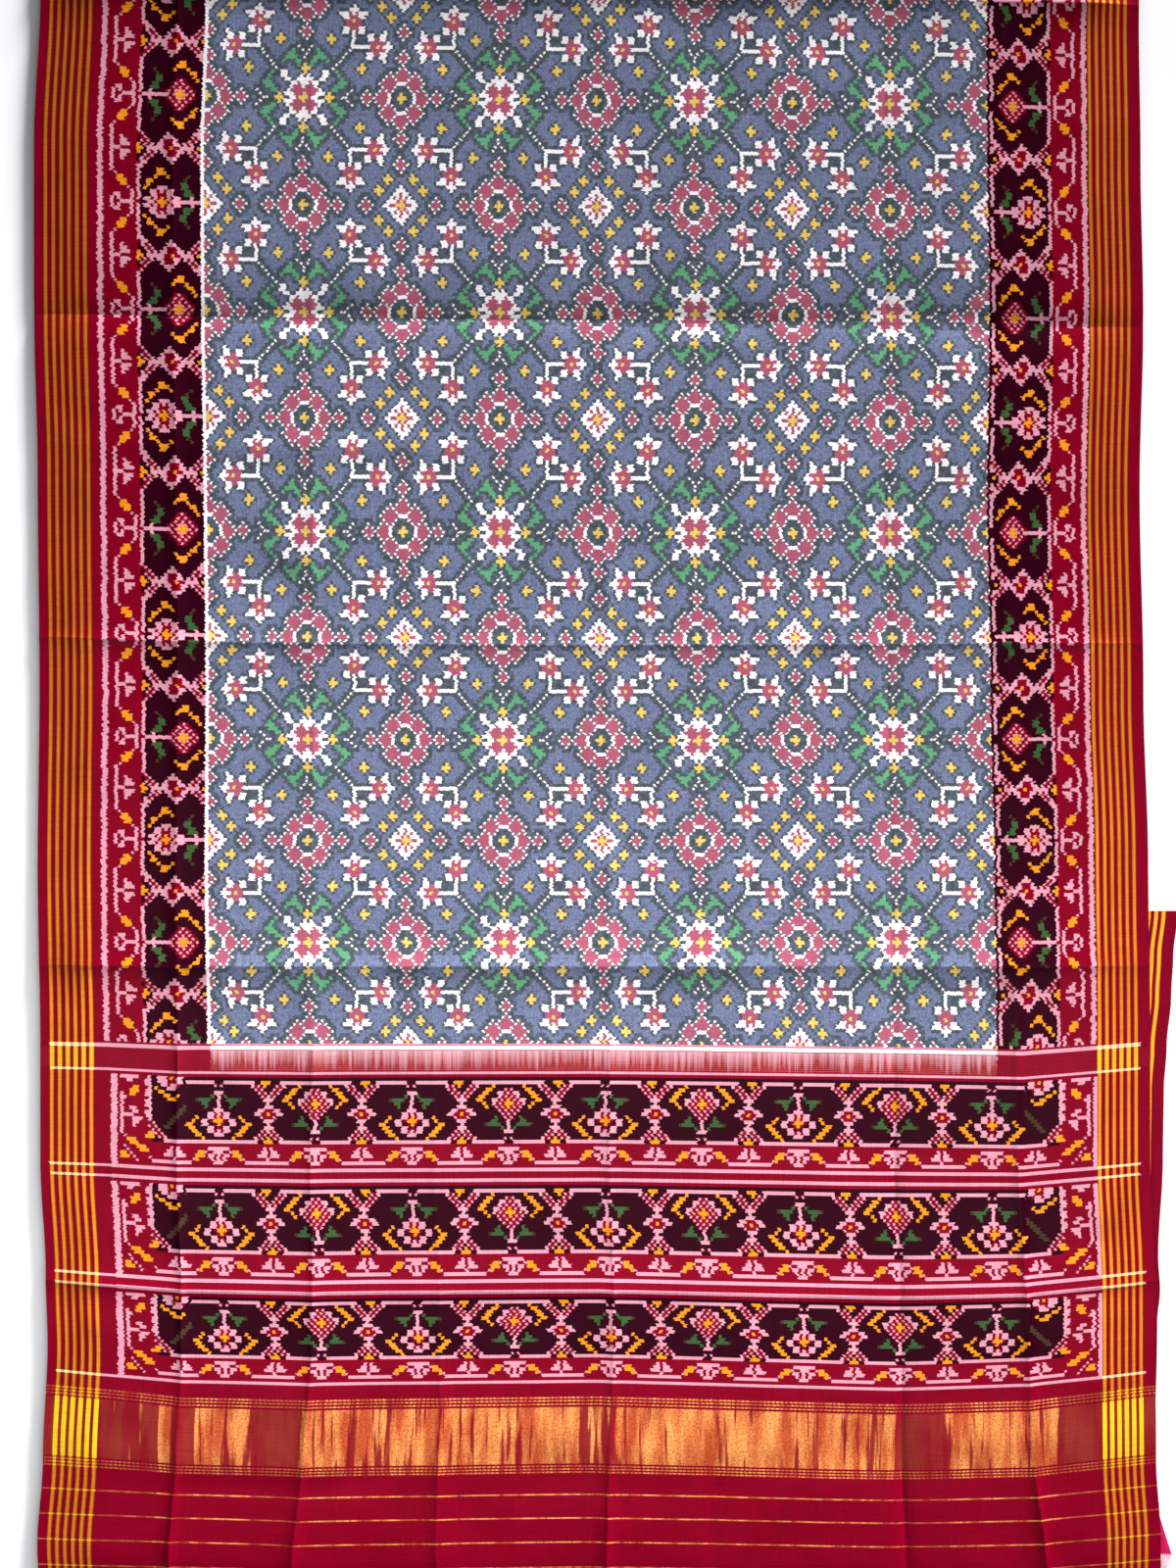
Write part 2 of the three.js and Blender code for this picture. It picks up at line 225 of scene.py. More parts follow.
def evenLines(start, end, step, wanted, crowding):
    # even lines, with the wanted ones in place of those they crowd out
    count = max(1, round((end - start) / step))
    inside = [w for w in wanted if start + crowding / 4 < w < end - crowding / 4]
    kept = []
    for i in range(count + 1):
        line = start + (end - start) * i / count
        if i in (0, count) or all(abs(w - line) > crowding for w in inside):
            kept.append(line)
    return sorted(kept + inside)


meshLines = {
    "fine": 1.7,  # spacing across the lengthwise creases
    "crossOffsets": (0, 1.4, 3, 6),  # lines beside each storage crease
    "selvedge": 0.0016,  # share of the width where the edge begins to bend down
    "crowding": 0.45,  # share of a step within which a wanted line pushes out an even one
}


def besideLines(centres, offsets):
    return [c + side * off for c in centres for off in offsets for side in ((-1, 1) if off else (1,))]


def sheetColumns(nearHem):
    # near the hem the creases wander sideways, so the lines stay close all over their way
    step = cloth["step"] / cloth["width"]
    fine = meshLines["fine"] / cloth["width"]
    wanted = besideLines([c["far"] for c in longCreases], (0, fine, 2 * fine))
    wanted += [meshLines["selvedge"], 1 - meshLines["selvedge"]]
    if nearHem:
        for crease in longCreases:
            low, high = sorted((crease["hem"], crease["far"]))
            count = round((high - low) / fine) + 4
            wanted += [low + (i - 2) * fine for i in range(count + 1)]
    kept = []
    for line in sorted(wanted):
        if not kept or line - kept[-1] > fine * 0.6:
            kept.append(line)
    return evenLines(0, 1, step, kept, step * meshLines["crowding"])


def sheetRows(start, end):
    wanted = besideLines([c["panels"] * panel for c in crossCreases], meshLines["crossOffsets"])
    return evenLines(start, end, cloth["step"], wanted, cloth["step"] * meshLines["crowding"])


# Meshes

def addObject(name, data):
    obj = bpy.data.objects.new(name, data)
    bpy.context.scene.collection.objects.link(obj)
    return obj


def finishMesh(name, points, faces, corners, bakes, material):
    # a corner is its place on the even loom cloth, then on the laid one, in metres
    mesh = bpy.data.meshes.new(name)
    mesh.from_pydata([Vector(p) * mm for p in points], [], faces)
    maps = {
        "Woven": [value for face in corners for corner in face for value in corner[:2]],
        "Laid": [value for face in corners for corner in face for value in (corner[0], corner[-1])],
        "OFBake": [value for face in bakes for corner in face for value in corner],
    }
    for label, values in maps.items():
        mesh.uv_layers.new(name=label).data.foreach_set("uv", values)
    mesh.polygons.foreach_set("use_smooth", [True] * len(mesh.polygons))
    mesh.set_sharp_from_angle(angle=math.radians(48))
    mesh.validate()
    mesh.materials.append(material)
    obj = addObject(name, mesh)
    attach(obj, "root")
    return obj


def rimOrder(rows, columns):
    order = [(0, c) for c in range(columns - 1)]
    order += [(r, columns - 1) for r in range(rows - 1)]
    order += [(rows - 1, c) for c in range(columns - 1, 0, -1)]
    order += [(r, 0) for r in range(rows - 1, 0, -1)]
    return order


# where a sheet's upper side, underside and rim lie on its bake map
bakeStrips = {"upper": (0.16, 0.995), "under": (0.03, 0.145), "rim": (0.002, 0.025), "margin": 0.005}


def bakeAcross(share):
    return bakeStrips["margin"] + (1 - 2 * bakeStrips["margin"]) * share


def closedSheet(name, outer, inner, woven, material, rings=()):
    # outer, inner and woven are rows of points; woven is in metres on the even cloth
    rows, columns = len(outer), len(outer[0])
    points = [p for row in outer for p in row] + [p for row in inner for p in row]
    under = rows * columns
    faces, corners, bakes = [], [], []

    def at(r, c):
        return r * columns + c

    def bakeAt(r, c, strip):
        low, high = bakeStrips[strip]
        return (bakeAcross(c / (columns - 1)), low + (high - low) * r / (rows - 1))

    for r in range(rows - 1):
        for c in range(columns - 1):
            quad = [(r, c), (r, c + 1), (r + 1, c + 1), (r + 1, c)]
            faces.append([at(*q) for q in quad])
            corners.append([woven[q[0]][q[1]] for q in quad])
            bakes.append([bakeAt(*q, "upper") for q in quad])
            quad.reverse()
            faces.append([at(*q) + under for q in quad])
            corners.append([woven[q[0]][q[1]] for q in quad])
            bakes.append([bakeAt(*q, "under") for q in quad])
    rim = rimOrder(rows, columns)
    loops = [[at(r, c) for r, c in rim]]
    for ring in rings:
        start = len(points)
        points += ring
        loops.append(list(range(start, start + len(ring))))
    loops.append([at(r, c) + under for r, c in rim])
    foot, top = bakeStrips["rim"]
    bands = len(loops) - 1
    for k in range(bands):
        low, high = (foot + (top - foot) * i / bands for i in (k, k + 1))
        for i in range(len(rim)):
            j = (i + 1) % len(rim)
            a, b = woven[rim[i][0]][rim[i][1]], woven[rim[j][0]][rim[j][1]]
            left, right = bakeAcross(i / len(rim)), bakeAcross((i + 1) / len(rim))
            faces.append([loops[k][i], loops[k + 1][i], loops[k + 1][j], loops[k][j]])
            corners.append([a, a, b, b])
            bakes.append([(left, low), (left, high), (right, high), (right, low)])
    return finishMesh(name, points, faces, corners, bakes, material)


def topRows(start, end):
    columns = sheetColumns(end <= laid["pallu"])
    outer, inner, woven = [], [], []
    for along in sheetRows(start, end):
        loom = between(wovenPlaces, along, 1, straight)
        upper = []
        for share in columns:
            x, y = laidPlace(share, along)
            upper.append((x, y, pileTop(along) + play + wall + lift(share, along)))
        outer.append(upper)
        inner.append([(x, y, z - cloth["thick"]) for x, y, z in upper])
        woven.append([(share * cloth["width"] * mm, loom * mm, along * mm) for share in columns])
    return outer, inner, woven


def foldRows(outer, inner, woven):
    # adds rows that go on round the top fold and a little way back underneath
    columns = sheetColumns(False)
    radius = (pileTop(laid["top"]) + play + wall) / 2
    thin = radius - cloth["thick"]
    bend = laid["top"] - radius
    xs = [laidPlace(share, laid["top"])[0] for share in columns]
    steps = 9
    for i in range(1, steps + 1):
        angle = math.pi * (0.5 - i / steps)
        loom = (bend + radius * math.pi * i / steps) * mm
        across, up = math.cos(angle), math.sin(angle)
        y = bend - laid["top"] / 2
        outer.append([(x, y + radius * across, radius * (1 + up)) for x in xs])
        inner.append([(x, y + thin * across, radius + thin * up) for x in xs])
        woven.append([(share * cloth["width"] * mm, loom) for share in columns])
    y = bend - laid["top"] / 2 - laid["turned"]
    outer.append([(x, y, 0) for x in xs])
    inner.append([(x, y, cloth["thick"]) for x in xs])
    loom = woven[-1][0][1] + laid["turned"] * mm
    woven.append([(share * cloth["width"] * mm, loom) for share in columns])

# Dyes and charts. Each letter of a chart is one cell of the ikat, and the charts are mirrored to repeat.

def dye(red, green, blue):
    def linear(level):
        level /= 255
        return level / 12.92 if level < 0.04045 else ((level + 0.055) / 1.055) ** 2.4
    return (linear(red), linear(green), linear(blue), 1)


dyes = {
    "fieldBlue": dye(102, 110, 138), "fieldShadow": dye(74, 80, 104), "fieldFleck": dye(136, 142, 182),
    "outline": dye(66, 73, 76), "white": dye(234, 230, 234), "rose": dye(161, 82, 104),
    "yellow": dye(221, 187, 94), "green": dye(90, 152, 112),
    "crimson": dye(119, 0, 27), "maroon": dye(42, 0, 16), "pink": dye(206, 141, 158),
    "orange": dye(222, 136, 30), "leaf": dye(52, 82, 44), "oldLeaf": dye(60, 46, 30),
    "endLine": dye(206, 130, 150), "combSide": dye(134, 30, 44), "combWeft": dye(206, 98, 90),
    # paintedShade is the painted shade laid along the storage fold lines
    "combWarp": dye(236, 190, 202), "paintedShade": dye(40, 16, 34),
    "gold": dye(214, 128, 32), "goldEdge": dye(122, 42, 18), "brightGold": dye(244, 202, 36),
    "goldCrossed": dye(250, 226, 130), "copperDark": dye(184, 84, 44), "copperLight": dye(244, 160, 88),
    "underGold": dye(236, 160, 44), "underGoldEdge": dye(186, 96, 24),
    "corner": dye(190, 26, 84), "fringe": dye(238, 206, 214), "floor": dye(250, 250, 252),
}
# the last letter of a palette is a dot that doesn't fill its cell
palettes = {
    "field": {".": "fieldBlue", "k": "outline", "w": "white", "r": "rose", "y": "yellow", "g": "green",
              "d": "white"},
    "border": {".": "maroon", "c": "crimson", "p": "pink", "o": "orange", "g": "leaf", "d": "oldLeaf",
               "q": "pink"},
}


def newChart(columns, rows, ground):
    return [[ground] * columns for row in range(rows)]


def put(chart, column, row, letter):
    if 0 <= row < len(chart) and 0 <= column < len(chart[0]):
        chart[row][column] = letter


def draw(chart, marks, place=None):
    # marks of a row are words such as p4-6: a letter with the first and last of its columns
    for row, text in marks.items():
        for word in text.split():
            first, dash, last = word[1:].partition("-")
            for column in range(int(first), int(last or first) + 1):
                put(chart, *(place(column, row) if place else (column, row)), word[0])


def drawQuarter(chart, column, row, quarter):
    # a quarter of a motif, unfolded into four round its centre
    for down, text in enumerate(quarter):
        for right, letter in enumerate(text):
            if letter != ".":
                for x in (column - right, column + right):
                    for y in (row - down, row + down):
                        put(chart, x, y, letter)


def drawBall(chart, downs, rights, letters, place):
    # chequered ball with a solid heart, which every other flower has
    for down in downs:
        for right in rights:
            reach = abs(right) + abs(down)
            if reach < 6:
                letter = "o" if reach < 2 else letters[(right + down) % 2]
                put(chart, *place(right, down), letter)


def loosen(chart, letter, dot):
    # a cell that touches its like only at the corners is bound smaller, so it shows as a dot
    before = [row[:] for row in chart]
    for y, row in enumerate(before):
        for x, found in enumerate(row):
            around = ((y - 1, x), (y + 1, x), (y, x - 1), (y, x + 1))
            likes = [before[r][c] == letter for r, c in around if 0 <= r < len(before) and 0 <= c < len(row)]
            if found == letter and not any(likes):
                chart[y][x] = dot


def outlineMotifs(chart, ground, outline, cornered):
    # the ground beside each motif is dyed dark, also at the corners of leaves and dots
    before = [row[:] for row in chart]
    for y, row in enumerate(before):
        for x, found in enumerate(row):
            near = [(r, c) for r in range(max(0, y - 1), min(len(before), y + 2))
                    for c in range(max(0, x - 1), min(len(row), x + 2))]
            beside = any(before[r][c] != ground for r, c in near if r == y or c == x)
            if found == ground and (beside or any(before[r][c] in cornered for r, c in near)):
                chart[y][x] = outline


def fieldChart():
    # quarter of the field repeat, from the big flower out to the small one
    chart = newChart(32, 30, ".")
    tuft = ("yy", "y.")
    diamond = ("rrw", "rw.", "w..")
    bigFlower = ("yyrww..", "yrrrwww", "rrrrrw.", "wrrrw..", "wwrww..", "www....", ".w.....")
    smallFlower = ("yyrrww", "yrwww.", "rwrw..", "rww...", "ww....", "w.....")
    medallion = (
        "yykkwrrrrw", "ykkkwrrrw.", "kkkwrwrw..", "kkwrrrw...", "wwrrrrrw..",
        "rrwrrrw...", "rrrwrw....", "rrw.w.....", "rw........", "w.........",
    )
    places = [
        (diamond, (0, 18), (11, 29), (20, 29), (20, 0), (31, 11), (31, 18)),
        (tuft, (8, 0), (0, 8), (18, 8), (8, 16), (24, 25), (27, 22)),
        (medallion, (0, 29), (31, 0)), (bigFlower, (0, 0)), (smallFlower, (31, 29)),
    ]
    for quarter, *spots in places:
        for column, row in spots:
            drawQuarter(chart, column, row, quarter)
    # leaves, dotted lines and the stem with two stars
    draw(chart, {
        0: "d12-13", 1: "d14", 2: "g9-10 d15", 3: "g10-12", 4: "g11-13", 5: "w5-6 g12", 6: "w6-7 g11",
        7: "w6-7 g10", 8: "d9", 9: "g2 d10", 10: "g2-3 g7 d11", 11: "d0 g3-6 d12", 12: "d0 g4-5 d13",
        13: "d1 g4 d14", 14: "d2 w15-20", 15: "w15 k16-18", 16: "w15 k16-18", 17: "w15 k16-18", 18: "w15",
    })
    star = {4: "....w....", 3: "...www...", 2: "wwwrwrwww", 1: ".wwrrrww.", 0: "..rryrr..",
            -1: "..rrrrr..", -2: ".wwrrrww.", -3: ".ww.w.ww."}
    for off, text in star.items():
        for i, letter in enumerate(text):
            if letter != ".":
                put(chart, 11 + i, 21 + off, letter)
                put(chart, 23 + off, 10 + i, letter)
    loosen(chart, "w", "d")
    outlineMotifs(chart, ".", "k", "gd")
    return chart


def borderHalf(chart, top, stemToField):
    # rows run from the flower at the top of the half to the cross at its foot
    def place(column, row):
        if not stemToField and 13 <= column <= 30:
            column = 43 - column
        return column, top + (15 - row if stemToField else row)

    lines = {row: "p0-1 c2-11 " + ("p12" if row >= 5 else ".12") for row in range(16)}
    draw(chart, lines, place)
    draw(chart, {row: "p31" for row in range(2, 14)}, place)
    draw(chart, {
        0: "p4-6 o12 o13 p16 p28 p18-19 c20-21 o22 c23-24 p25-26",
        1: "p4 p7-9 o12 p15 c16 p17 p27 c28 p29 p19-20 c21-23 p24-25",
        2: "p4 p7-8 p14 c15 p16 p28 c29 p30 p20 c21-23 p24",
        3: "p4 p7 p13 c14 p15 p29 c30 p31 p21-23", 4: "p4 c12 p13 p14 p30 c31 p22", 5: "p4 p12 p13 p31",
        6: "p4 o18-19", 7: "p5 o18-20", 8: "o6-7 o17 o21 d27", 9: "o6-8 o15-16 d26", 10: "o7-8 o15 g25-26",
        11: "p9 o14 g25-26", 12: "p10 g26-27", 13: "p5-6 p10 g26-28", 14: "p4 p6 p10 p28",
        15: "c12 p4 p7-10 p24-30",
    }, place)
    if stemToField:
        draw(chart, {
            11: "p18-20", 12: "p16-17 c18 p19 c20 p21-22", 13: "p16-17 c18-20 p21-22",
            14: "p14-15 c16 p17 c18 o19 c20 p21 c22 p23-24", 15: "p15-16 c17 o18-20 c21 p22-23",
        }, place)
    else:
        drawBall(chart, range(5), range(-4, 5), "pc", lambda right, down: place(19 + right, 15 - down))


def borderChart():
    chart = newChart(32, 31, ".")
    borderHalf(chart, 15, False)
    borderHalf(chart, 0, True)
    loosen(chart, "p", "q")
    return chart


def bandFlower(chart, place):
    # half of a flower with its leaves and sprays
    draw(chart, {
        2: "p1", 4: "p0-1", 5: "p0 g2", 6: "p0 g3-6 d7", 7: "p0 g4-5", 8: "p0 g4", 9: "p0-1",
        10: "p0 p2-3 c1", 11: "o0 c1 p2-3 o7", 12: "o0-1 c2 p4-5 o8", 13: "o0 c1 p4-5 o9-10",
        14: "c0 p2-3 o8-9", 15: "p0 c1 p2-3 o7-8", 16: "p0-1 o6-7", 17: "o5",
    }, place)


def bandChart():
    # half of a figured band repeat, from the hanging flower to the upright one
    def upright(column, row):
        return 31 - column, 19 - row

    chart = newChart(32, 31, "c")
    draw(chart, {row: ".0-31" for row in range(19)})
    bandFlower(chart, None)
    bandFlower(chart, upright)
    drawBall(chart, range(-4, 5), range(6), "cp", lambda right, down: upright(right, 12 + down))
    # the cross between them, and below it the creeper with rosettes and three leaves
    draw(chart, {
        1: "p2-11 o14-16 p20-31", 2: "p11 p13 o15 p19 p21 c12 c20", 3: "p12 p14 p18 p20 c13 c19",
        4: "p13 p15 p17 p19 c14 c18", 5: "p14 p16 p18 c15 c17", 6: "p15-17", 7: "p16", 8: "p15-17",
        9: "p13-14 p18-19 c15-17", 10: "p12-13 p19-20 c14-15 c17-18 o16", 11: "p14 p18 c15-17", 12: "p15-17",
        13: "p16", 14: "p15-17", 15: "p14 p16 p18 c15 c17", 16: "p13 p15 p17 p19 c14 c18",
        17: "p12 p14 o16 p18 p20 c13 c19", 18: "p0-12 o15-17 p20-29",
        20: "p0-3 p15 p17 p28-31", 21: "p0-1 p4 o5-6 p14-15 p17-18 o25-26 p27 p30-31",
        22: "p0 p2-3 o5-7 p13-15 p17-19 o24-26 p28-29 p31", 23: "p0 p2 o7 p8 p16 p23 o24 p29 p31",
        24: "p0-1 p9-22 p30-31", 26: "p0-31", 29: "p0-31",
    })
    loosen(chart, "p", "q")
    return chart


def bandEndChart():
    # the band's end beside the side border, 24 columns from its outer line
    chart = newChart(24, 31, "c")
    draw(chart, {row: ".13-23" for row in range(19)})
    draw(chart, {row: "p0-1" for row in range(26)})
    draw(chart, {row: "p3" for row in range(5, 17)})
    draw(chart, {row: "p11-12" if row % 3 else "p12" for row in range(13)})
    draw(chart, {
        0: "p3-8 p15-17 c18 o19 c20 p21-22", 1: "p5-6 p15-17 c18-20 p21-22", 2: "p16-17 c18 p19-20 c21",
        3: "o7-8 o14 p18-20", 4: "o6-8 o15-16", 5: "o6-7 o17-18 o21", 6: "p4 o18-20", 9: "p6-7", 10: "p7-8",
        11: "p4-6", 12: "p7-9", 13: "p7-8 p13", 14: "p7 p12 p14 c13", 15: "p13 p15 c14",
        16: "p14 p16 c15 o12-13", 17: "p15 p17 c16 p4 o11-13", 18: "p17-23 o5-7", 19: "o6-8",
        20: "o8-10 p4 p19 p21", 21: "o9-11 p5 p18-19 p21-22", 22: "p6 p17-19 p21-23 o3-4",
        23: "p12 p7 o3-5 p20", 24: "p13-23 p8", 26: "p0-23", 29: "p0-23",
    })
    # the long leaf
    draw(chart, {row: f"d{31 - row}-{32 - row}" for row in range(8, 15)})
    loosen(chart, "p", "q")
    return chart


# Nodes

def node(tree, kind, **settings):
    made = tree.nodes.new(kind)
    for key, value in settings.items():
        setattr(made, key, value)
    return made


def feed(socket, value):
    if isinstance(value, bpy.types.NodeSocket):
        socket.id_data.links.new(value, socket)
    else:
        socket.default_value = value


def treeOf(values):
    # the tree of the first socket among these values
    return next(value.id_data for value in values if isinstance(value, bpy.types.NodeSocket))


def calc(operation, *values, clamp=False):
    made = node(treeOf(values), "ShaderNodeMath", operation=operation, use_clamp=clamp)
    for socket, value in zip(made.inputs, values):
        feed(socket, value)
    return made.outputs[0]


plus = partial(calc, "ADD")
minus = partial(calc, "SUBTRACT")
times = partial(calc, "MULTIPLY")
divided = partial(calc, "DIVIDE")


def highest(masks):
    found = masks[0]
    for mask in masks[1:]:
        found = calc("MAXIMUM", found, mask)
    return found


def mixed(share, first, second):
    made = node(treeOf((share, first, second)), "ShaderNodeMix", data_type="RGBA")
    feed(made.inputs["Factor"], share)
    feed(made.inputs[6], first)
    feed(made.inputs[7], second)
    return made.outputs[2]


def climb(value, low, high, kind="LINEAR"):
    # from 0 at low to 1 at high
    made = node(value.id_data, "ShaderNodeMapRange", interpolation_type=kind)
    feed(made.inputs["Value"], value)
    feed(made.inputs["From Min"], low)
    feed(made.inputs["From Max"], high)
    return made.outputs[0]


def spanMask(value, low, high, soft):
    # 1 between low and high, with edges a little soft
    return times(climb(value, low - soft, low + soft), climb(value, high + soft, high - soft))


def axesOf(vector):
    made = node(vector.id_data, "ShaderNodeSeparateXYZ")
    feed(made.inputs[0], vector)
    return made.outputs


def rampOf(factor, stops, kind="CONSTANT"):
    # stops are places with their colours
    made = node(factor.id_data, "ShaderNodeValToRGB")
    ramp = made.color_ramp
    ramp.interpolation = kind
    ramp.elements.remove(ramp.elements[1])
    for place, colour in stops[1:]:
        ramp.elements.new(place)
    for element, (place, colour) in zip(ramp.elements, stops):
        element.color = colour
    feed(made.inputs[0], factor)
    return made.outputs


def group(name, inputs, outputs):
    tree = bpy.data.node_groups.new(name, "ShaderNodeTree")
    for label, kind in inputs.items():
        tree.interface.new_socket(label, in_out="INPUT", socket_type="NodeSocket" + kind)
    for label, kind in outputs.items():
        tree.interface.new_socket(label, in_out="OUTPUT", socket_type="NodeSocket" + kind)
    return tree, node(tree, "NodeGroupInput").outputs, node(tree, "NodeGroupOutput").inputs


def use(shared, **values):
    made = node(treeOf(values.values()), "ShaderNodeGroup", node_tree=shared)
    for label, value in values.items():
        feed(made.inputs[label], value)
    return made.outputs


# shares of its cell that a dot fills
dotCell = {"across": (0.13, 0.86), "acrossSoft": 0.08, "along": (0.17, 0.82), "alongSoft": 0.1}


def chartGroup(name, chart, palette, around):
    # looks a cell up in a colour ramp: one stop for each row, and three bits of a channel for each cell
    tree, given, out = group(name, {"Column": "Float", "Row": "Float"}, {"Color": "Color", "Dye": "Float"})
    letters = list(palette)
    kinds, perChannel, mostRows = 8, 8, 32
    packedRows = []
    for row, cells in enumerate(chart):
        sums = [0, 0, 0, 0]
        for place, letter in enumerate(cells):
            sums[place // perChannel] += letters.index(letter) * kinds ** (place % perChannel)
        packedRows.append((row / mostRows, [total / kinds ** perChannel for total in sums]))
    found = rampOf(divided(plus(calc("FLOOR", given["Row"]), 0.5), mostRows), packedRows)
    channels = node(tree, "ShaderNodeSeparateColor")
    feed(channels.inputs[0], found["Color"])
    column = calc("FLOOR", given["Column"])
    which = calc("FLOOR", divided(plus(column, 0.01), perChannel))
    packed = None
    for i, source in enumerate([*channels.outputs, found["Alpha"]]):
        hit = times(source, calc("COMPARE", which, i, 0.1))
        packed = hit if packed is None else plus(packed, hit)
    whole = times(packed, float(kinds ** perChannel))
    place = calc("POWER", kinds, calc("MODULO", column, perChannel))
    shifted = calc("FLOOR", divided(whole, place))
    digit = calc("FLOOR", plus(calc("MODULO", shifted, kinds), 0.01))
    swatches = [(i / kinds, dyes[palette[letter]]) for i, letter in enumerate(letters)]
    colour = rampOf(divided(plus(digit, 0.5), kinds), swatches)["Color"]
    isDot = calc("COMPARE", digit, len(letters) - 1, 0.3)
    wide = spanMask(calc("FRACT", given["Column"]), *dotCell["across"], dotCell["acrossSoft"])
    high = spanMask(calc("FRACT", given["Row"]), *dotCell["along"], dotCell["alongSoft"])
    gap = minus(1, times(wide, high))
    feed(out["Color"], mixed(times(isDot, gap), colour, around))
    feed(out["Dye"], digit)
    return tree


# stretch across and along, detail and seed of each noise
silkNoise = {
    "weftSlip": (22, 360, 2, 3), "warpSlip": (420, 20, 2, 8),
    "weft": (30, 1250, 2, 1), "warp": (1150, 26, 2, 5), "shade": (17, 14, 3, 2),
    # foldShade breaks up the painted shade along the fold lines
    "cloud": (190, 210, 3, 4), "mottle": (420, 420, 2, 9), "foldShade": (60, 60, 2, 6),
    "comb": (300, 3, 3, 4), "streak": (130, 9, 4, 7), "copper": (60, 11, 4, 12),
}


def stretchedNoise(place, name):
    across, along, detail, seed = silkNoise[name]
    scaled = node(place.id_data, "ShaderNodeVectorMath", operation="MULTIPLY_ADD")
    for socket, value in zip(scaled.inputs, (place, (across, along, 1), (seed, seed * 1.7, 0))):
        feed(socket, value)
    made = node(place.id_data, "ShaderNodeTexNoise", noise_dimensions="2D")
    feed(made.inputs["Vector"], scaled.outputs[0])
    feed(made.inputs["Scale"], 1)
    feed(made.inputs["Detail"], detail)
    return made.outputs["Fac"]


def ikatGroup():
    # bound threads slip on the loom, so every cell's edge is a little ragged; places are in millimetres
    tree, given, out = group("ikatSlip", {"Woven": "Vector", "Slip": "Float"},
                             {"Across": "Float", "Along": "Float", "Straight": "Float"})
    x, y, z = axesOf(given["Woven"])
    slips = (("Across", x, "weftSlip", 6.5), ("Along", y, "warpSlip", 2.4))
    for label, place, name, furthest in slips:
        drift = times(minus(stretchedNoise(given["Woven"], name), 0.5), times(given["Slip"], furthest))
        feed(out[label], plus(times(place, 1000), drift))
    feed(out["Straight"], times(x, 1000))
    return tree


def threadGroup():
    # slubs and uneven dyeing of single threads both ways, and the weave's fine relief
    tree, given, out = group("silkThreads", {"Woven": "Vector", "Depth": "Float"},
                             {"Shade": "Float", "Height": "Float", "Mottle": "Float", "Cloud": "Float"})
    names = ("weft", "warp", "shade", "mottle", "cloud")
    weft, warp, shade, mottle, cloud = (stretchedNoise(given["Woven"], name) for name in names)
    threads = plus(weft, warp)
    uneven = times(minus(threads, 1.0), given["Depth"])
    feed(out["Shade"], plus(plus(uneven, times(minus(shade, 0.5), 0.22)), 1.0))
    feed(out["Height"], threads)
    feed(out["Mottle"], mottle)
    feed(out["Cloud"], cloud)
    return tree


def foldShadeGroup():
    # painted shade: the colour is darkened along each storage fold line, where shade falls in the crease
    tree, given, out = group("paintedFoldShade", {"Laid": "Vector"}, {"PaintedShade": "Float"})
    line = calc("PINGPONG", times(axesOf(given["Laid"])[1], 1000), panel / 2)
    feed(out["PaintedShade"], times(spanMask(line, -2, 0.8, 0.7), stretchedNoise(given["Laid"], "foldShade")))
    return tree


# places on the even loom cloth, from its left selvedge and from the hem; a cell is one step of the ikat
selvedge = {
    "left": 9.9, "right": 12.9, "stripes": 6, "leftPeriod": 8.5, "rightPeriod": 7.85,
    "stripe": (0.02, 0.6), "core": (0.08, 0.48),  # shares of the period
}
border = {
    "leftStart": 67.4, "leftCell": 3.568, "rightStart": 57.6, "rightCell": 3.226, "columns": 32,
    "row": 3.733, "turn": 30,  # rows from one flower to the next, where the chart turns back
}
field = {
    "left": 181.6, "right": 1016.2, "flower": 287, "cellAcross": 3.36, "cellAlong": 3.862, "row": 715.5,
    "turnAcross": 31, "turnAlong": 29, "edgeLine": 3.4, "endLine": 1.6,
    # outline bleeding into the blue, darker patches and lighter flecks: from where, how steep, how strong
    "bled": (0.38, 2.6, 0.6), "shadow": (0.56, 2.2), "fleck": (0.48, 2.2),
}
band = {
    "middle": 600.6, "cell": 3.311, "turn": 31, "row": 3.698, "rows": 31, "start": 570.3, "repeat": 114.65,
    "count": 3, "gap": 16, "end": 445.4, "endColumns": 24,
}


def bySide(right, leftValue, rightValue):
    return calc("MULTIPLY_ADD", right, rightValue - leftValue, leftValue)


def nearSelvedge(across):
    return calc("MINIMUM", across, minus(cloth["width"], across))


def zariGroup():
    # six gold-wrapped warp stripes beside each selvedge, straight because nothing is bound there;
    # the slipped place is only passed on as the distance from the selvedge
    tree, given, out = group("zariStripes", {"Straight": "Float", "Slipped": "Float"},
                             {"Zari": "Float", "Core": "Float", "Side": "Float", "Right": "Float"})
    right = calc("GREATER_THAN", given["Straight"], cloth["width"] / 2)
    start = bySide(right, selvedge["left"], selvedge["right"])
    period = bySide(right, selvedge["leftPeriod"], selvedge["rightPeriod"])
    stripes = divided(minus(nearSelvedge(given["Straight"]), start), period)
    inStripe = calc("FRACT", plus(stripes, 10))
    inside = spanMask(stripes, 0, selvedge["stripes"] - 0.2, 0.02)
    feed(out["Zari"], times(spanMask(inStripe, *selvedge["stripe"], 0.03), inside))
    feed(out["Core"], times(spanMask(inStripe, *selvedge["core"], 0.07), inside))
    feed(out["Side"], nearSelvedge(given["Slipped"]))
    feed(out["Right"], right)
    return tree


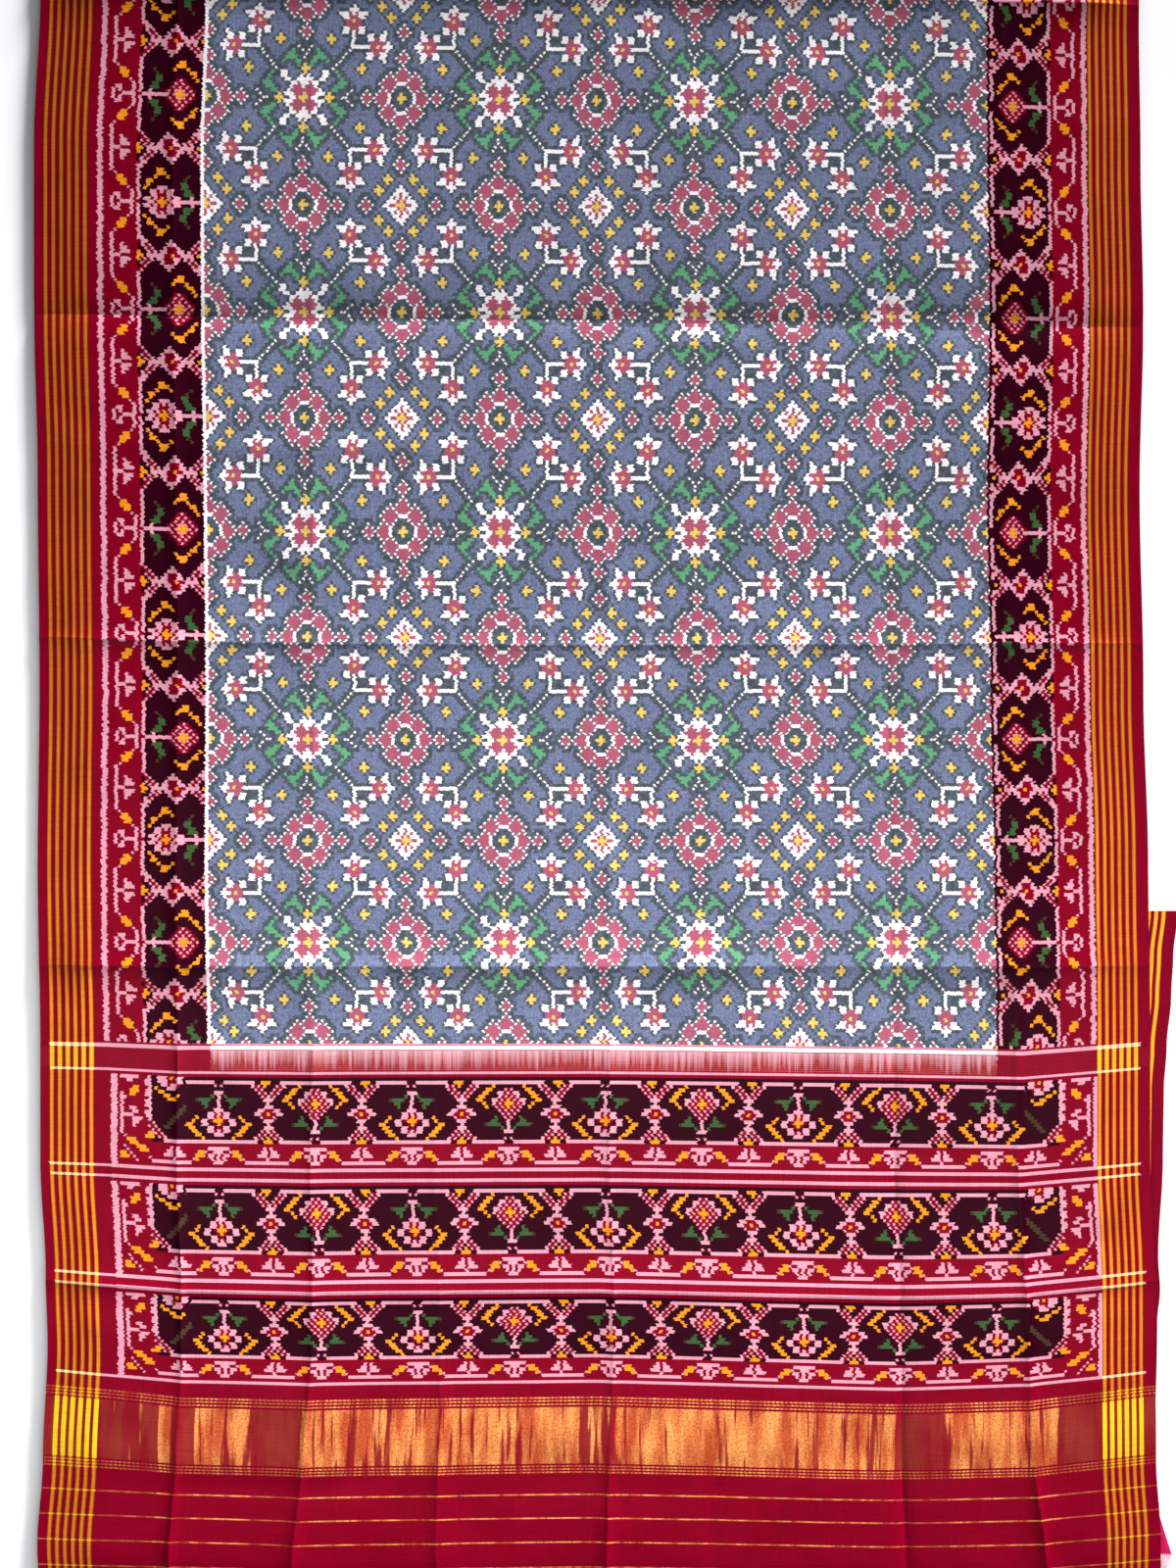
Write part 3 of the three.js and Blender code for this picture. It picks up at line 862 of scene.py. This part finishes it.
def borderGroup(shared):
    # creeper and flower border between the gold stripes and the field
    tree, given, out = group("flowerBorder", {"Side": "Float", "Right": "Float", "Along": "Float"},
                             {"Color": "Color"})
    start = bySide(given["Right"], border["leftStart"], border["rightStart"])
    cell = bySide(given["Right"], border["leftCell"], border["rightCell"])
    column = divided(minus(given["Side"], start), cell)
    flower = field["row"] + field["turnAlong"] * field["cellAlong"]
    rows = divided(minus(given["Along"], flower), border["row"])
    held = calc("MAXIMUM", calc("MINIMUM", column, border["columns"] - 0.01), 0)
    found = use(shared["borderChart"], Column=held, Row=plus(calc("PINGPONG", rows, border["turn"]), 0.5))
    # the line next to the gold is a little less than its two cells wide
    trimmed = plus(spanMask(column, -9, 0.2, 0.05), spanMask(column, 1.75, 2, 0.05))
    beside = calc("MAXIMUM", calc("LESS_THAN", column, 0), trimmed)
    colour = mixed(beside, found["Color"], dyes["crimson"])
    feed(out["Color"], mixed(calc("GREATER_THAN", column, border["columns"]), colour, dyes["maroon"]))
    return tree


def inField(across):
    return times(calc("GREATER_THAN", across, field["left"]), calc("LESS_THAN", across, field["right"]))


# Silks

def newMaterial(name):
    material = bpy.data.materials.new(name)
    material.use_nodes = True
    material.node_tree.nodes.clear()
    return material, material.node_tree


def mapSocket(tree, name):
    return node(tree, "ShaderNodeUVMap", uv_map=name).outputs[0]


silk = {
    "threadDepth": 0.5, "roughness": 0.4, "uneven": 0.16, "specular": 0.03, "sheen": 0.004,
    # paintedShade: how strongly the painted shade darkens the fold lines
    "sheenRoughness": 0.45, "bump": 0.32, "threadHeight": 0.12 * mm, "paintedShade": 0.45,
    "zariMetal": 0.45, "zariSmooth": 0.06,
}


def wovenSilk(name, shared, slip, depth=silk["threadDepth"]):
    # what every sheet of the length shares: threads, painted shade along the folds, slipped ikat and gold
    # stripes
    material, tree = newMaterial(name)
    woven = mapSocket(tree, "Woven")
    threads = use(shared["threads"], Woven=woven, Depth=depth)
    paintedShade = use(shared["foldShade"], Laid=mapSocket(tree, "Laid"))["PaintedShade"]
    slipped = use(shared["ikat"], Woven=woven, Slip=slip)
    sides = use(shared["zari"], Straight=slipped["Straight"], Slipped=slipped["Across"])
    return material, woven, threads, paintedShade, slipped, sides


def withStripes(colour, sides, edge, core):
    return mixed(sides["Zari"], colour, mixed(sides["Core"], dyes[edge], dyes[core]))


def finishSilk(material, colour, threads, roughness=silk["roughness"], paintedShade=None, zari=None):
    # the shader of every silk, with the gold thread as metal
    tree = material.node_tree
    shader = node(tree, "ShaderNodeBsdfPrincipled")
    shade = node(tree, "ShaderNodeVectorMath", operation="SCALE")
    feed(shade.inputs[0], colour)
    feed(shade.inputs["Scale"], threads["Shade"])
    shown = shade.outputs[0]
    # painted shade darkens the colour along the fold lines
    if paintedShade is not None:
        shown = mixed(times(paintedShade, silk["paintedShade"]), shown, dyes["paintedShade"])
    feed(shader.inputs["Base Color"], shown)
    dull = plus(roughness, times(minus(threads["Mottle"], 0.5), silk["uneven"]))
    if zari is not None:
        feed(shader.inputs["Metallic"], times(zari, silk["zariMetal"]))
        dull = minus(dull, times(zari, silk["zariSmooth"]))
    feed(shader.inputs["Roughness"], dull)
    feed(shader.inputs["Sheen Weight"], silk["sheen"])
    feed(shader.inputs["Sheen Roughness"], silk["sheenRoughness"])
    feed(shader.inputs["Specular IOR Level"], silk["specular"])
    bump = node(tree, "ShaderNodeBump")
    feed(bump.inputs["Strength"], silk["bump"])
    feed(bump.inputs["Distance"], silk["threadHeight"])
    feed(bump.inputs["Height"], threads["Height"])
    feed(shader.inputs["Normal"], bump.outputs[0])
    feed(node(tree, "ShaderNodeOutputMaterial").inputs[0], shader.outputs[0])
    return material


def fieldColour(shared, slipped, threads):
    cells = divided(minus(slipped["Across"], field["flower"]), field["cellAcross"])
    rows = divided(minus(slipped["Along"], field["row"]), field["cellAlong"])
    column = plus(calc("PINGPONG", cells, field["turnAcross"]), 0.5)
    row = plus(calc("PINGPONG", rows, field["turnAlong"]), 0.5)
    ground = use(shared["fieldChart"], Column=column, Row=row)
    # the dark outline bleeds unevenly into the blue, and cross threads show as small flecks
    isOutline = calc("COMPARE", ground["Dye"], 1, 0.3)
    start, steep, strong = field["bled"]
    bled = times(minus(threads["Cloud"], start), steep, clamp=True)
    colour = mixed(times(isOutline, times(bled, strong)), ground["Color"], dyes["fieldBlue"])
    isBlue = calc("LESS_THAN", ground["Dye"], 0.5)
    start, steep = field["shadow"]
    shadow = times(minus(start, threads["Cloud"]), steep, clamp=True)
    colour = mixed(times(isBlue, shadow), colour, dyes["fieldShadow"])
    start, steep = field["fleck"]
    fleck = times(minus(threads["Mottle"], start), steep, clamp=True)
    return mixed(times(isBlue, fleck), colour, dyes["fieldFleck"])


def bodySilk(shared):
    material, woven, threads, paintedShade, slipped, sides = wovenSilk("bodySilk", shared, 1.0)
    edge = use(shared["border"], Side=sides["Side"], Right=sides["Right"], Along=slipped["Along"])
    within = inField(slipped["Across"])
    colour = mixed(within, edge["Color"], fieldColour(shared, slipped, threads))
    edgeLine = spanMask(slipped["Across"], field["left"] - field["edgeLine"], field["left"], 0.2)
    colour = mixed(edgeLine, colour, dyes["white"])
    endLine = spanMask(axesOf(woven)[1], 0.5, (laid["pallu"] + field["endLine"]) * mm, 0.3 * mm)
    colour = mixed(endLine, colour, mixed(within, dyes["crimson"], dyes["endLine"]))
    colour = withStripes(colour, sides, "goldEdge", "gold")
    return finishSilk(material, colour, threads, paintedShade=paintedShade, zari=sides["Zari"])


# places from the hem on the even loom cloth
pallu = {
    "comb": (577, 598.5), "combPeriod": 2.05, "combWeft": (0.1, 1.0), "weftStrong": 0.5,
    "bleed": (579, 20), "bleedUneven": 2.0, "warpStrong": 0.62, "underWeft": 0.25,
    "lines": (575, 472.4, 461.3, 357.8, 346.6, 243.2), "lineHalf": 1.3, "lineFrom": 10,
    "fieldLine": (599.2, 603.4),
    "fineLines": (230.2, 227, 223.4, 157.6, 154.4, 151.2, 127.6, 102.7, 77.1, 50.3, 24.6), "fineHalf": 0.65,
    "dashesFrom": 140, "dashPeriod": 4.7, "dash": (0.8, 4.4),
    "strip": (160.4, 220.3), "zoneMiddle": 0.62, "zoneStrong": 0.62, "shineFrom": 0.47, "shineTo": 0.59,
    "grain": 1.5, "leastGold": 0.06, "toneFrom": 0.36, "toneSteep": 3.4, "fineExtra": 0.3,
    "combCrossing": 0.45,
}
# share of the width, then how much painted highlight the gold strip gets from there
stripZones = [
    (0, 0.1), (0.058, 0.1), (0.062, 0.8), (0.066, 0.1), (0.088, 0.6), (0.091, 0.2), (0.101, 0.35),
    (0.104, 1), (0.113, 0.9), (0.116, 0.5), (0.12, 0), (0.134, 0), (0.137, 0.95), (0.161, 0.9), (0.165, 0.6),
    (0.176, 0.95), (0.192, 0.45), (0.196, 0.05), (0.229, 0.1), (0.232, 0.9), (0.32, 0.8), (0.47, 0.95),
    (0.49, 0.55), (0.56, 0.95), (0.7, 0.85), (0.768, 0.7), (0.775, 0.15), (0.808, 0.1), (0.815, 0.9),
    (0.908, 0.85), (0.92, 0.1), (0.96, 0.05),
]


def lineMask(along, places, half, soft):
    return highest([spanMask(along, place - half, place + half, soft) for place in places])


def bandColour(shared, across, along):
    # three figured bands with their ends, on the plain crimson
    fromMiddle = calc("ABSOLUTE", minus(across, band["middle"]))
    column = plus(calc("PINGPONG", divided(fromMiddle, band["cell"]), band["turn"]), 0.5)
    inBand = calc("FLOORED_MODULO", minus(band["start"], along), band["repeat"])
    row = calc("MINIMUM", divided(inBand, band["row"]), band["rows"] - 0.01)
    figures = use(shared["bandChart"], Column=column, Row=row)
    beyond = divided(minus(fromMiddle, band["end"]), band["cell"])
    endColumn = minus(band["endColumns"], beyond)
    held = calc("MAXIMUM", calc("MINIMUM", endColumn, band["endColumns"] - 0.01), 0)
    ends = use(shared["bandEndChart"], Column=held, Row=row)
    colour = mixed(calc("GREATER_THAN", beyond, 0), figures["Color"], ends["Color"])
    colour = mixed(calc("LESS_THAN", endColumn, 0), colour, dyes["crimson"])
    last = band["start"] - band["count"] * band["repeat"] + band["gap"]
    return mixed(spanMask(along, last, band["start"], 0.2), dyes["crimson"], colour)


def withComb(colour, woven, along, within, inComb):
    # between the field and the first band the field's warp shows pale between fine red wefts
    wefts = spanMask(calc("FLOORED_MODULO", along, pallu["combPeriod"]), *pallu["combWeft"], 0.25)
    start, reach = pallu["bleed"]
    depth = minus(divided(minus(along, start), reach), 0.12)
    bleed = minus(stretchedNoise(woven, "comb"), 0.5)
    pale = calc("MULTIPLY_ADD", bleed, pallu["bleedUneven"], depth, clamp=True)
    pale = times(times(pale, within), inComb)
    weftColour = mixed(within, dyes["combSide"], dyes["combWeft"])
    colour = mixed(times(times(inComb, wefts), pallu["weftStrong"]), colour, weftColour)
    bare = minus(1, times(wefts, pallu["underWeft"]))
    return mixed(times(times(pale, bare), pallu["warpStrong"]), colour, dyes["combWarp"])


def stripShine(woven, threads):
    # painted highlight and shade: the gold strip is coloured copper and made metal in patches that follow
    # its creases, where it catches the light, and left crimson between them, where it turns away
    across = divided(times(axesOf(woven)[0], 1000), cloth["width"])
    levels = [(place, (level, level, level, 1)) for place, level in stripZones]
    zones = rampOf(across, levels, "LINEAR")["Color"]
    zoned = times(minus(zones, pallu["zoneMiddle"]), pallu["zoneStrong"])
    turn = plus(stretchedNoise(woven, "streak"), zoned)
    shining = climb(turn, pallu["shineFrom"], pallu["shineTo"], "SMOOTHSTEP")
    grain = times(threads["Mottle"], pallu["grain"], clamp=True)
    return calc("MULTIPLY_ADD", times(shining, grain), 1 - pallu["leastGold"], pallu["leastGold"])


def palluSilk(shared):
    material, woven, threads, paintedShade, slipped, sides = wovenSilk("palluSilk", shared, 0.9)
    along = times(axesOf(woven)[1], 1000)
    within = inField(slipped["Across"])
    inComb = spanMask(along, *pallu["comb"], 0.3)
    colour = bandColour(shared, slipped["Across"], along)
    colour = withComb(colour, woven, along, within, inComb)
    # plain weft lines run the whole width, paler where they cross the gold
    reachesEdge = calc("GREATER_THAN", sides["Side"], pallu["lineFrom"])
    lines = times(lineMask(along, pallu["lines"], pallu["lineHalf"], 0.25), reachesEdge)
    fieldLine = times(spanMask(along, *pallu["fieldLine"], 0.3), reachesEdge)
    colour = mixed(lines, colour, dyes["pink"])
    colour = mixed(fieldLine, colour, mixed(within, dyes["pink"], dyes["white"]))
    # gold strip, the fine lines on each side, and single gold lines in the plain end;
    # the fine lines show as dashes, where the gold floats over a few warp threads
    strip = spanMask(along, *pallu["strip"], 0.3)
    dashes = spanMask(calc("FLOORED_MODULO", slipped["Across"], pallu["dashPeriod"]), *pallu["dash"], 0.4)
    whole = calc("MAXIMUM", dashes, calc("LESS_THAN", along, pallu["dashesFrom"]))
    fine = times(lineMask(along, pallu["fineLines"], pallu["fineHalf"], 0.3), whole)
    # painted highlight on the gold strip and its fine lines
    shine = stripShine(woven, threads)
    weftGold = calc("MAXIMUM", times(strip, shine), times(fine, plus(shine, pallu["fineExtra"])), clamp=True)
    tone = times(minus(stretchedNoise(woven, "copper"), pallu["toneFrom"]), pallu["toneSteep"], clamp=True)
    copper = mixed(tone, dyes["copperDark"], dyes["copperLight"])
    colour = mixed(times(weftGold, minus(1, sides["Zari"])), colour, copper)
    colour = withStripes(colour, sides, "goldEdge", "gold")
    crossing = times(highest([strip, fine, times(inComb, pallu["combCrossing"])]), sides["Zari"])
    colour = mixed(crossing, colour, dyes["brightGold"])
    crossed = times(calc("MAXIMUM", lines, fieldLine), sides["Zari"])
    colour = mixed(crossed, colour, dyes["goldCrossed"])
    metal = times(calc("MAXIMUM", sides["Zari"], weftGold), minus(1, crossed))
    return finishSilk(material, colour, threads, paintedShade=paintedShade, zari=metal)


def underSilk(shared):
    material, woven, threads, paintedShade, slipped, sides = wovenSilk("underSilk", shared, 0.6, 0.45)
    colour = withStripes(dyes["crimson"], sides, "underGoldEdge", "underGold")
    return finishSilk(material, colour, threads, paintedShade=paintedShade, zari=sides["Zari"])


def fringeSilk(shared):
    material, tree = newMaterial("fringeSilk")
    woven = mapSocket(tree, "Woven")
    threads = use(shared["threads"], Woven=woven, Depth=0.6)
    tip = spanMask(axesOf(woven)[1], -0.1, 12.5 * mm, 1.5 * mm)
    return finishSilk(material, mixed(tip, dyes["corner"], dyes["fringe"]), threads, 0.55)


# Pieces

pile = {
    "left": 7, "right": 9, "hem": 5,  # how far the hidden layers stay inside the top one
    "step": 14, "across": 24, "split": 3 * panel, "follows": 0.3,  # share of the top layer's relief
    "wander": 0.35, "wanderLength": 60,
    # share of the way down the side, and how far a layer's rounded edge stands out there
    "edges": [
        (0.02, 0.3), (0.06, 1.9), (0.14, 2.7), (0.22, 2.5), (0.3, 1.2), (0.34, 0.6), (0.38, 1.4),
        (0.46, 2.3), (0.55, 2.1), (0.63, 0.9), (0.67, 0.4), (0.72, 1.6), (0.8, 3.0), (0.9, 2.8), (0.97, 1.6),
    ],
}


def pileEdges(outer, inner, atHem):
    rim = rimOrder(len(outer), len(outer[0]))
    last = len(outer[0]) - 1
    rings = []
    for down, out in pile["edges"]:
        ring = []
        for r, c in rim:
            x, y, z = (p + (q - p) * down for p, q in zip(outer[r][c], inner[r][c]))
            sideways = -1 if c == 0 else 1 if c == last else 0
            hemward = -1 if r == 0 and atHem else 0
            long = math.hypot(sideways, hemward) or 1
            reach = out * unevenness(pile["wander"], y / pile["wanderLength"], down * 9, c) / long
            ring.append((x + reach * sideways, y + reach * hemward, z))
        rings.append(ring)
    return rings


def pilePiece(name, start, end, atHem, material):
    rows = evenLines(start, end, pile["step"], [row[0] for row in stack], 4)
    count = round(cloth["width"] / pile["across"])
    shares = [i / count for i in range(count + 1)]
    outer, inner, woven = [], [], []
    for along in rows:
        left = between(outline, along, 1) + pile["left"] + middleX
        right = between(outline, along, 2) - pile["right"] + middleX
        y = along - laid["top"] / 2
        xs = [left + (right - left) * share for share in shares]
        tops = [pileTop(along) + pile["follows"] * lift(share, along) for share in shares]
        outer.append([(x, y, top) for x, top in zip(xs, tops)])
        inner.append([(x, y, between(stack, along, 2)) for x in xs])
        woven.append([(s * cloth["width"] * mm, (along + 2 * laid["top"]) * mm) for s in shares])
    rings = pileEdges(outer, inner, atHem)
    piece = closedSheet(name, outer, inner, woven, material, rings)
    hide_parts("folded_layers")


def makePile(material):
    end = laid["top"] - laid["turned"] - wall * 4
    pilePiece("pileNearHem", pile["hem"], pile["split"], True, material)
    pilePiece("pileNearFold", pile["split"], end, False, material)
    print("hidden layers made")


underEnd = {"start": 34, "step": 7, "columns": 150, "wave": 0.45, "uneven": 0.35, "wavesFrom": 0.95}
# along, left and right selvedge of the other end, which lies lowest
underOutline = [
    (0, -590, 578), (90, -592, 579), (155, -590, 586), (310, -582, 589), (341, -581, 592),
    (378, -580, 590), (480, -577, 595), (555, -574, 596), (600, -571, 599), (657, -569, 604),
    (697, -567, 606), (746, -565, 611),
]


def makeUnderEnd(material):
    start, end = underEnd["start"], laid["under"]
    shares = [i / underEnd["columns"] for i in range(underEnd["columns"] + 1)]
    outer, inner, woven = [], [], []
    for along in evenLines(start, end, underEnd["step"], [panel, 2 * panel - 30], 3):
        left = between(underOutline, along, 1) + middleX
        right = between(underOutline, along, 2) + middleX
        y = along - laid["top"] / 2
        upper = []
        for share in shares:
            x = left + (right - left) * share
            wave = underEnd["wave"] + underEnd["uneven"] * noise.noise(Vector((along / 40, share * 30, 2)))
            strays = smooth((share - underEnd["wavesFrom"]) / 0.03)
            upper.append((x, y, cloth["thick"] + wave * strays))
        outer.append(upper)
        inner.append([(x, y, z - cloth["thick"]) for x, y, z in upper])
        woven.append([(s * cloth["width"] * mm, (cloth["length"] - end + along) * mm) for s in shares])
    piece = closedSheet("underEnd", outer, inner, woven, material)
    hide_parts("under_end")
    print("lowest layer made")


corner = {
    "apex": 107, "foot": 60, "inner": 580.5, "outer": 604.5, "apexWidth": 9, "rows": 12, "columns": 10,
    "wave": 0.25, "strands": 34, "length": 13, "thread": 0.34, "flat": 0.28, "taper": 0.35, "woven": 0.9,
}


def cornerTongue(material):
    outer, inner, woven = [], [], []
    for r in range(corner["rows"]):
        t = r / (corner["rows"] - 1)
        along = corner["foot"] + (corner["apex"] - corner["foot"]) * t
        right = corner["outer"] + (corner["inner"] + corner["apexWidth"] - corner["outer"]) * t
        upper = []
        for c in range(corner["columns"]):
            share = c / (corner["columns"] - 1)
            x = corner["inner"] + (right - corner["inner"]) * share + middleX
            z = cloth["thick"] + corner["wave"] * math.sin(share * 5 + t * 2) ** 2
            upper.append((x, along - laid["top"] / 2, z))
        outer.append(upper)
        inner.append([(x, y, z - cloth["thick"]) for x, y, z in upper])
        up = (corner["length"] + (corner["apex"] - corner["foot"]) * t) * mm
        places = [corner["woven"] + 0.02 * c / corner["columns"] for c in range(corner["columns"])]
        woven.append([(place, up) for place in places])
    return closedSheet("cornerTongue", outer, inner, woven, material)


def bakeTiles(count):
    # one small square of the bake map for each face
    side = math.ceil(math.sqrt(count))
    tiles = []
    for i in range(count):
        x, y, long = (i % side) / side, (i // side) / side, 0.8 / side
        tiles.append([(x, y), (x + long, y), (x + long, y + long), (x, y + long)])
    return tiles


def cornerFringe(material):
    # warp ends left as short square threads, which taper and lie a little uneven
    random.seed(11)
    points, faces, corners = [], [], []
    foot = corner["foot"] - laid["top"] / 2
    spacing = (corner["outer"] - corner["inner"]) / corner["strands"]
    for i in range(corner["strands"]):
        x = corner["inner"] + spacing * (i + 0.5) + middleX
        length = corner["length"] * random.uniform(0.75, 1.05)
        lean = random.uniform(-0.8, 0.8)
        sections = []
        for k in range(5):
            t = k / 4
            y = foot + 1 - length * t
            z = 0.55 + 0.25 * math.sin(i * 1.9 + 3 * t)
            width = corner["thread"] * (1 - corner["taper"] * t)
            sections.append((len(points), corner["length"] * (1 - t) * mm))
            for side in range(4):
                angle = math.pi / 2 * side
                sideways, up = width * math.cos(angle), corner["flat"] * math.sin(angle)
                points.append((x + lean * t * t + sideways, y, z + up))
        for (low, v0), (high, v1) in zip(sections, sections[1:]):
            for side in range(4):
                after = (side + 1) % 4
                faces.append([low + side, high + side, high + after, low + after])
                corners.append([(corner["woven"], v) for v in (v0, v1, v1, v0)])
        for (start, v), order in ((sections[0], (0, 1, 2, 3)), (sections[-1], (3, 2, 1, 0))):
            faces.append([start + side for side in order])
            corners.append([(corner["woven"], v)] * 4)
    bakes = bakeTiles(len(faces))
    return finishMesh("cornerFringe", points, faces, corners, bakes, material)


def makeCorner(material):
    # the stray corner of the hidden end, with its warp ends left as a short fringe
    tongue = cornerTongue(material)
    fringe = cornerFringe(material)
    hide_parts("corner_fringe")
    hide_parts("corner_fringe")
    print("stray corner made")


def makeTopLayer(endSilk, body):
    outer, inner, woven = topRows(0, laid["pallu"])
    palluPiece = closedSheet("palluEnd", outer, inner, woven, endSilk)
    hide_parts("pallu")
    outer, inner, woven = topRows(laid["pallu"], laid["upper"])
    lower = closedSheet("bodyLower", outer, inner, woven, body)
    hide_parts("body_lower")
    radius = (pileTop(laid["top"]) + play + wall) / 2
    outer, inner, woven = topRows(laid["upper"], laid["top"] - radius)
    foldRows(outer, inner, woven)
    upper = closedSheet("bodyUpper", outer, inner, woven, body)
    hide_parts("body_upper")
    print("top layer made")


# Floor, lights and camera

photo = {"wide": 1200, "high": 1600, "scale": 1.0417, "middleX": 617, "hemY": 1646}  # pixels, and mm in one
cameraHeight = 3.4
floorSize = 14
lamp = {"place": (0, -0.6, 1.05), "size": (1.7, 0.8), "power": 14.2}
window = {"toward": (1.5, 2.4, 0.68), "angle": 16, "power": 10.1}
sky = {"color": (0.94, 0.96, 1, 1), "strength": 0.1}


def makeStage():
    material, tree = newMaterial("paleFloor")
    shader = node(tree, "ShaderNodeBsdfPrincipled")
    feed(shader.inputs["Base Color"], dyes["floor"])
    feed(shader.inputs["Roughness"], 0.9)
    feed(node(tree, "ShaderNodeOutputMaterial").inputs[0], shader.outputs[0])
    bpy.ops.mesh.primitive_plane_add(size=floorSize, location=(0, 0, -0.4 * mm))
    floor = bpy.context.object
    floor.name = "floor"
    floor.data.materials.append(material)


def makeLights():
    world = bpy.data.worlds.new("softSky")
    world.use_nodes = True
    background = world.node_tree.nodes["Background"]
    feed(background.inputs["Color"], sky["color"])
    feed(background.inputs["Strength"], sky["strength"])
    bpy.context.scene.world = world
    bpy.context.scene.view_settings.view_transform = "Standard"
    # a lamp hangs over the lower half and shines straight down
    data = bpy.data.lights.new("overheadLight", "AREA")
    data.shape = "RECTANGLE"
    data.size, data.size_y = lamp["size"]
    data.energy = lamp["power"]
    addObject("overheadLight", data).location = lamp["place"]
    # low soft window light from the far right, which shows the creases
    data = bpy.data.lights.new("windowLight", "SUN")
    data.angle = math.radians(window["angle"])
    data.energy = window["power"]
    turned = Vector(window["toward"]).to_track_quat("Z", "Y").to_euler()
    addObject("windowLight", data).rotation_euler = turned


def makeCamera():
    data = bpy.data.cameras.new("photoCamera")
    data.sensor_fit = "VERTICAL"
    data.sensor_height = 36
    tall = photo["high"] * photo["scale"] * mm
    data.lens = data.sensor_height * (cameraHeight - 0.01) / tall
    camera = addObject("photoCamera", data)
    x = (photo["wide"] / 2 - photo["middleX"]) * photo["scale"] + middleX
    y = (photo["hemY"] - photo["high"] / 2) * photo["scale"] - laid["top"] / 2
    camera.location = (x * mm, y * mm, cameraHeight)
    bpy.context.scene.camera = camera


makeCamera()
makeLights()
makeStage()
print("stage made")

shared = {
    "threads": threadGroup(),
    "ikat": ikatGroup(),
    # painted shade along the storage fold lines
    "foldShade": foldShadeGroup(),
    "zari": zariGroup(),
    "fieldChart": chartGroup("fieldChart", fieldChart(), palettes["field"], dyes["outline"]),
    "borderChart": chartGroup("borderChart", borderChart(), palettes["border"], dyes["crimson"]),
    "bandChart": chartGroup("bandChart", bandChart(), palettes["border"], dyes["crimson"]),
    "bandEndChart": chartGroup("bandEndChart", bandEndChart(), palettes["border"], dyes["crimson"]),
}
shared["border"] = borderGroup(shared)
under = underSilk(shared)
print("silks made")

makeUnderEnd(under)
makePile(under)
makeTopLayer(palluSilk(shared), bodySilk(shared))
makeCorner(fringeSilk(shared))
